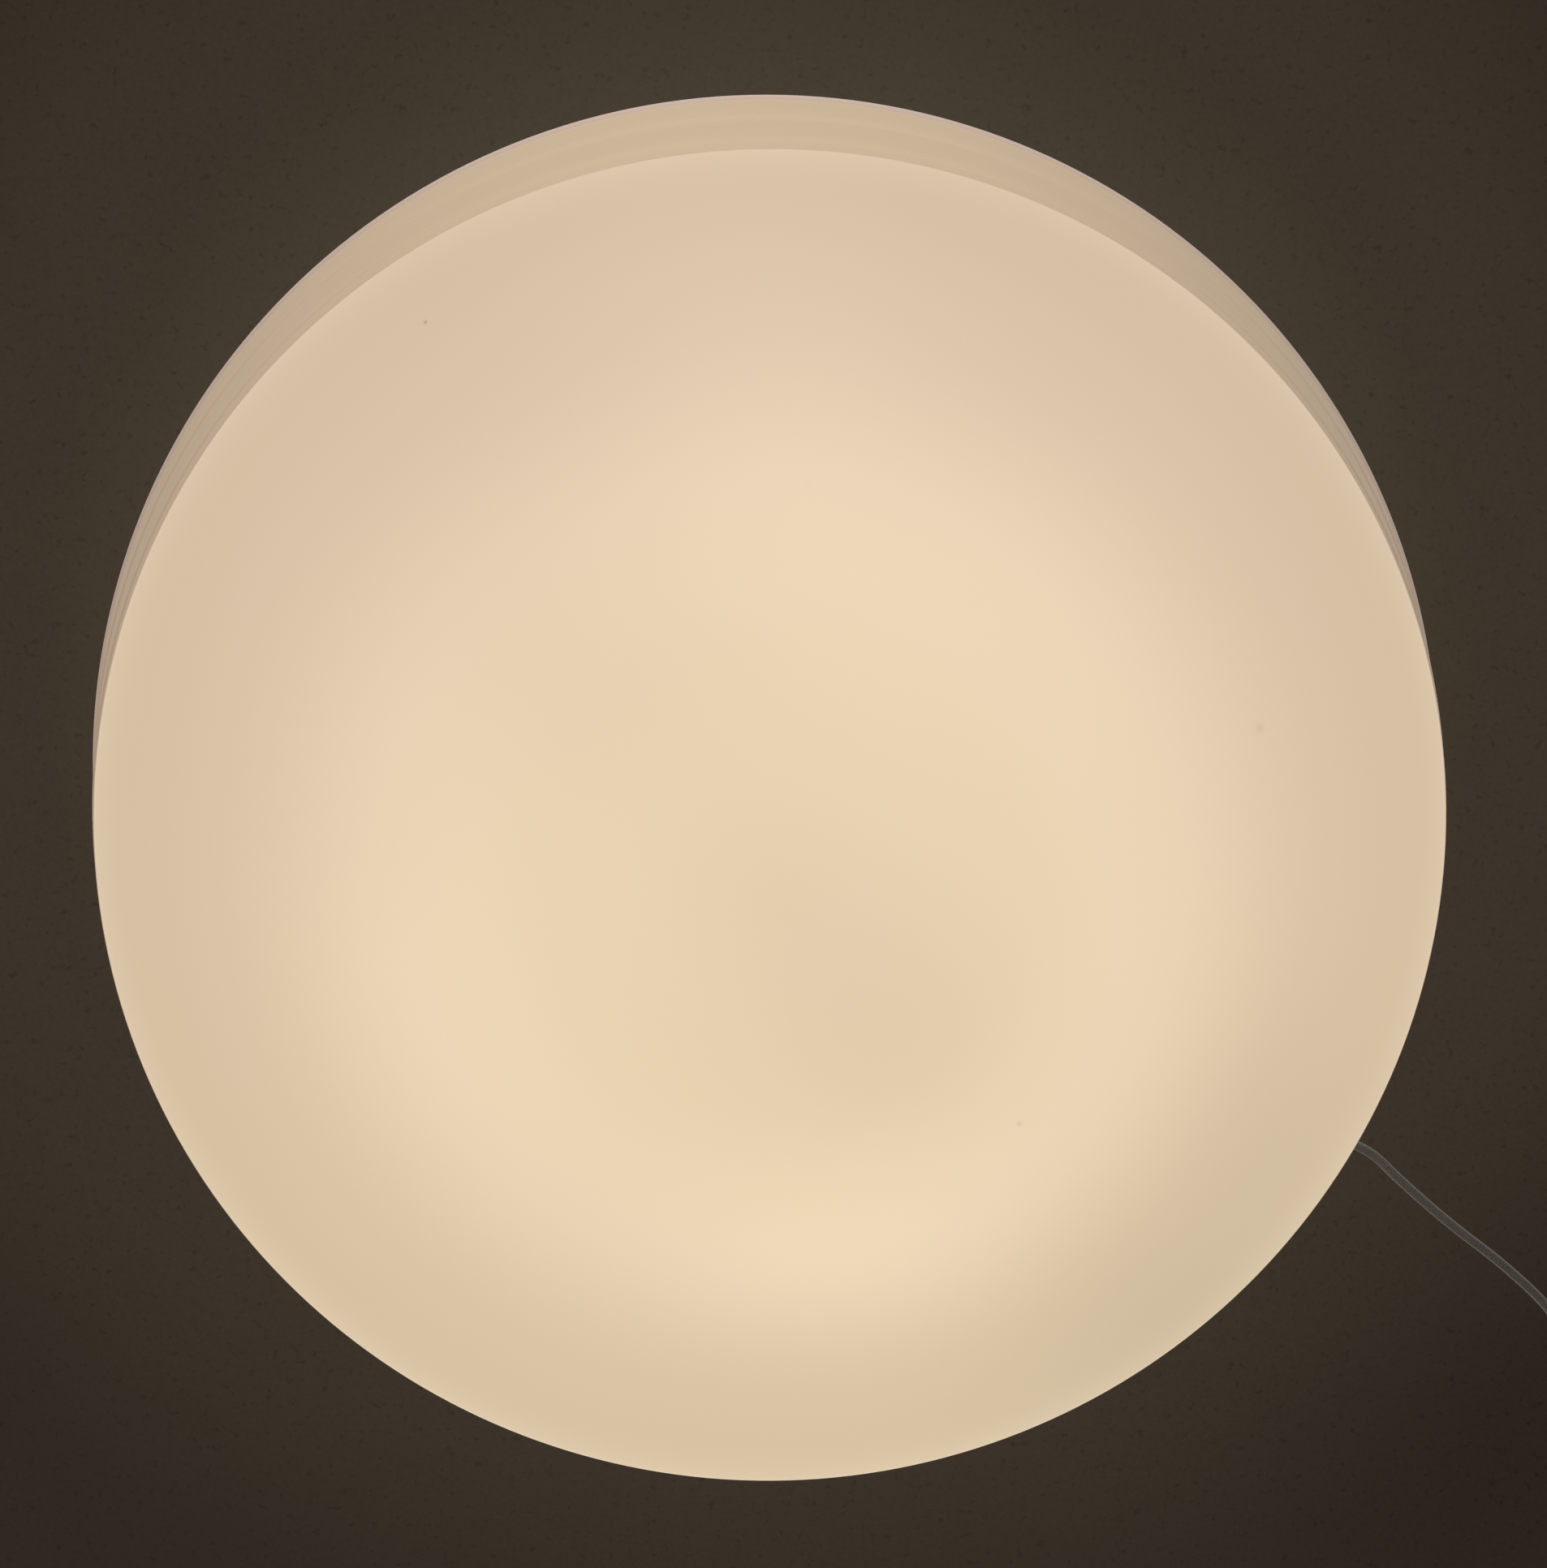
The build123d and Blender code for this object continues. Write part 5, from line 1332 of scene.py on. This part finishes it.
class PENDANT_OT_stage(Operator):
    """Set the dark ceiling, the pale floor, the soft light and the camera"""

    bl_idname = "pendant.stage"
    bl_label = "Stage"

    def execute(self, context):
        scene = context.scene
        stage = scene.pendant_stage
        ceiling = flat_square("stage_ceiling", 0.62, 0.0006, upward=False)
        sheet = Finish("stage ceiling")
        x, y, _ = sheet.axes()
        distance = (x * x + y * y) ** 0.5
        pits = sheet.window(sheet.noise(210.0, 4.0, roughness=0.6), 0.42, 0.30)
        grain = 1.0 + 0.34 * (sheet.noise(420.0, 4.0, roughness=0.7) - 0.5) + 0.08 * (sheet.noise(16.0, 3.0) - 0.5)
        grain = grain - 0.16 * pits
        # The ceiling is duller towards one corner of the photo
        dull_place, dull_reach = 0.42, 0.02
        across, along = x - dull_place, y - dull_place
        corner = sheet.maths("EXPONENT", (across * across + along * along) / -dull_reach)
        # Painted shade: the ceiling darker towards that corner
        grain = grain - 0.22 * corner
        # Painted light: the ceiling is brighter beside the lamp and fades away from it, a painted pool of the
        # lamp's glow
        near, far = tuple(stage.ceiling_painted_glow), tuple(stage.ceiling_far)
        between = tuple(a * 0.42 + b * 0.58 for a, b in zip(near, far))
        shade = sheet.ramp(distance, [(0.0, near), (0.26, near), (0.38, between), (0.58, far), (1.0, far)], "EASE")
        # Bright parts mirror a paler ceiling, so that metal stays light from above
        mirrored = sheet.add("ShaderNodeLightPath", output="Is Glossy Ray")
        shown = sheet.mix(mirrored, sheet.scaled(shade, grain), (0.30, 0.29, 0.28))
        glow = sheet.add("ShaderNodeEmission", None, {"Color": shown, "Strength": 1.0})
        clear = sheet.add("ShaderNodeBsdfTransparent")
        behind = sheet.add("ShaderNodeNewGeometry", output="Backfacing")
        sides = sheet.add("ShaderNodeMixShader", None, {0: behind, 1: glow, 2: clear})
        sheet.add("ShaderNodeOutputMaterial", None, {"Surface": sides})
        ceiling.data.materials.append(sheet.material)
        ceiling.visible_diffuse = False
        ceiling.visible_transmission = False
        ceiling.visible_shadow = False

        floor = flat_square("stage_floor", 6.0, stage.floor_level)
        sheet = Finish("stage floor")
        base = sheet.mix(sheet.noise(3.0, 3.0), tuple(stage.floor), tuple(c * 0.98 for c in stage.floor))
        floor.data.materials.append(sheet.surface({"Base Color": base, "Roughness": 0.9}))
        floor.visible_diffuse = False

        world = bpy.data.worlds.new("soft studio")
        world.use_nodes = True
        world.node_tree.nodes.clear()
        sheet = NodeSheet(world.node_tree)
        place = sheet.add("ShaderNodeTexCoord", output="Generated")
        rise = sheet.add("ShaderNodeSeparateXYZ", None, {"Vector": place}, "Z") * 0.5 + 0.5
        light = sheet.ramp(rise, [
            (0.0, (0.015,) * 3), (0.46, (0.02,) * 3), (0.52, (stage.horizon,) * 3), (0.70, (stage.sky,) * 3),
            (1.0, (stage.sky,) * 3)], "EASE")
        seen = sheet.ramp(rise, [(0.0, (0.66,) * 3), (0.5, (0.80,) * 3), (1.0, (0.86,) * 3)])
        path = sheet.add("ShaderNodeLightPath", output="Is Camera Ray")
        direct = sheet.maths("MAXIMUM", path, path.pick("Is Transmission Ray"))
        lit = sheet.add("ShaderNodeBackground", None, {"Color": light, "Strength": 1.0})
        view = sheet.add("ShaderNodeBackground", None, {"Color": seen, "Strength": 1.0})
        both = sheet.add("ShaderNodeMixShader", None, {0: direct, 1: lit, 2: view})
        sheet.add("ShaderNodeOutputWorld", None, {"Surface": both})
        scene.world = world

        for name, place, share in (("soft lamp left", (-0.9, -1.0, 2.5), 1.0),
                                   ("soft lamp right", (1.1, 0.8, 2.5), 0.6)):
            lamp = bpy.data.lights.new(name, "AREA")
            lamp.shape = "DISK"
            lamp.size = 1.6
            lamp.energy = stage.lamp_power * share
            holder = bpy.data.objects.new(name, lamp)
            scene.collection.objects.link(holder)
            holder.visible_glossy = False
            holder.location = place
            aim = Vector((0.1, 0.05, -0.3)) - Vector(place)
            holder.rotation_mode = "QUATERNION"
            holder.rotation_quaternion = aim.to_track_quat("-Z", "Y")

        lens = bpy.data.cameras.new("photo camera")
        lens.lens = stage.lens
        lens.sensor_width = 36.0
        lens.clip_start = 0.01
        camera = bpy.data.objects.new("photo camera", lens)
        scene.collection.objects.link(camera)
        # Place and aim were fitted to the outlines traced from the photo
        spot = Vector((-0.01207, -0.14263, -1.22541))
        aim = Vector((0.01582, 0.15783, 1.0)).normalized()
        right = aim.cross(Vector((0.0, -1.0, 0.0))).normalized()
        up = right.cross(aim)
        turn = Matrix((right, up, -aim)).transposed()
        camera.matrix_world = Matrix.Translation(spot) @ turn.to_4x4()
        scene.camera = camera
        scene.view_settings.view_transform = "Standard"
        return {"FINISHED"}


STEPS = (
    PENDANT_OT_plain_nodes,
    PENDANT_OT_ceiling_flex,
    PENDANT_OT_hanging_flex,
    PENDANT_OT_opal_shade,
    PENDANT_OT_ceiling_cup,
    PENDANT_OT_ceiling_rose,
    PENDANT_OT_gallery,
    PENDANT_OT_cluster,
    PENDANT_OT_bulbs,
    PENDANT_OT_stage,
)


class PENDANT_PT_sidebar(Panel):
    """The pendant light's pieces and sizes"""

    bl_idname = "PENDANT_PT_sidebar"
    bl_label = "Opaline pendant light"
    bl_space_type = "VIEW_3D"
    bl_region_type = "UI"
    bl_category = "Pendant"

    def draw(self, context):
        for label, group, _ in SETTINGS:
            box = self.layout.box()
            box.label(text=label)
            settings = getattr(context.scene, group)
            for name in settings.bl_rna.properties.keys():
                if name not in ("rna_type", "name"):
                    box.prop(settings, name)
        for step in STEPS:
            self.layout.operator(step.bl_idname)


SETTINGS = (
    ("Shade", "pendant_shade", ShadeSettings),
    ("Flex", "pendant_flex", FlexSettings),
    ("Fittings", "pendant_fittings", FittingSettings),
    ("Bulbs", "pendant_bulbs", BulbSettings),
    ("Stage", "pendant_stage", StageSettings),
)


def register():
    for _, name, group in SETTINGS:
        bpy.utils.register_class(group)
        setattr(bpy.types.Scene, name, PointerProperty(type=group))
    for step in STEPS:
        bpy.utils.register_class(step)
    bpy.utils.register_class(PENDANT_PT_sidebar)


def unregister():
    bpy.utils.unregister_class(PENDANT_PT_sidebar)
    for step in reversed(STEPS):
        bpy.utils.unregister_class(step)
    for _, name, group in reversed(SETTINGS):
        delattr(bpy.types.Scene, name)
        bpy.utils.unregister_class(group)


def main():
    """Registers the add-on and makes every piece and the stage."""
    register()
    for step in STEPS:
        family, name = step.bl_idname.split(".")
        getattr(getattr(bpy.ops, family), name)()


if __name__ == "__main__":
    main()
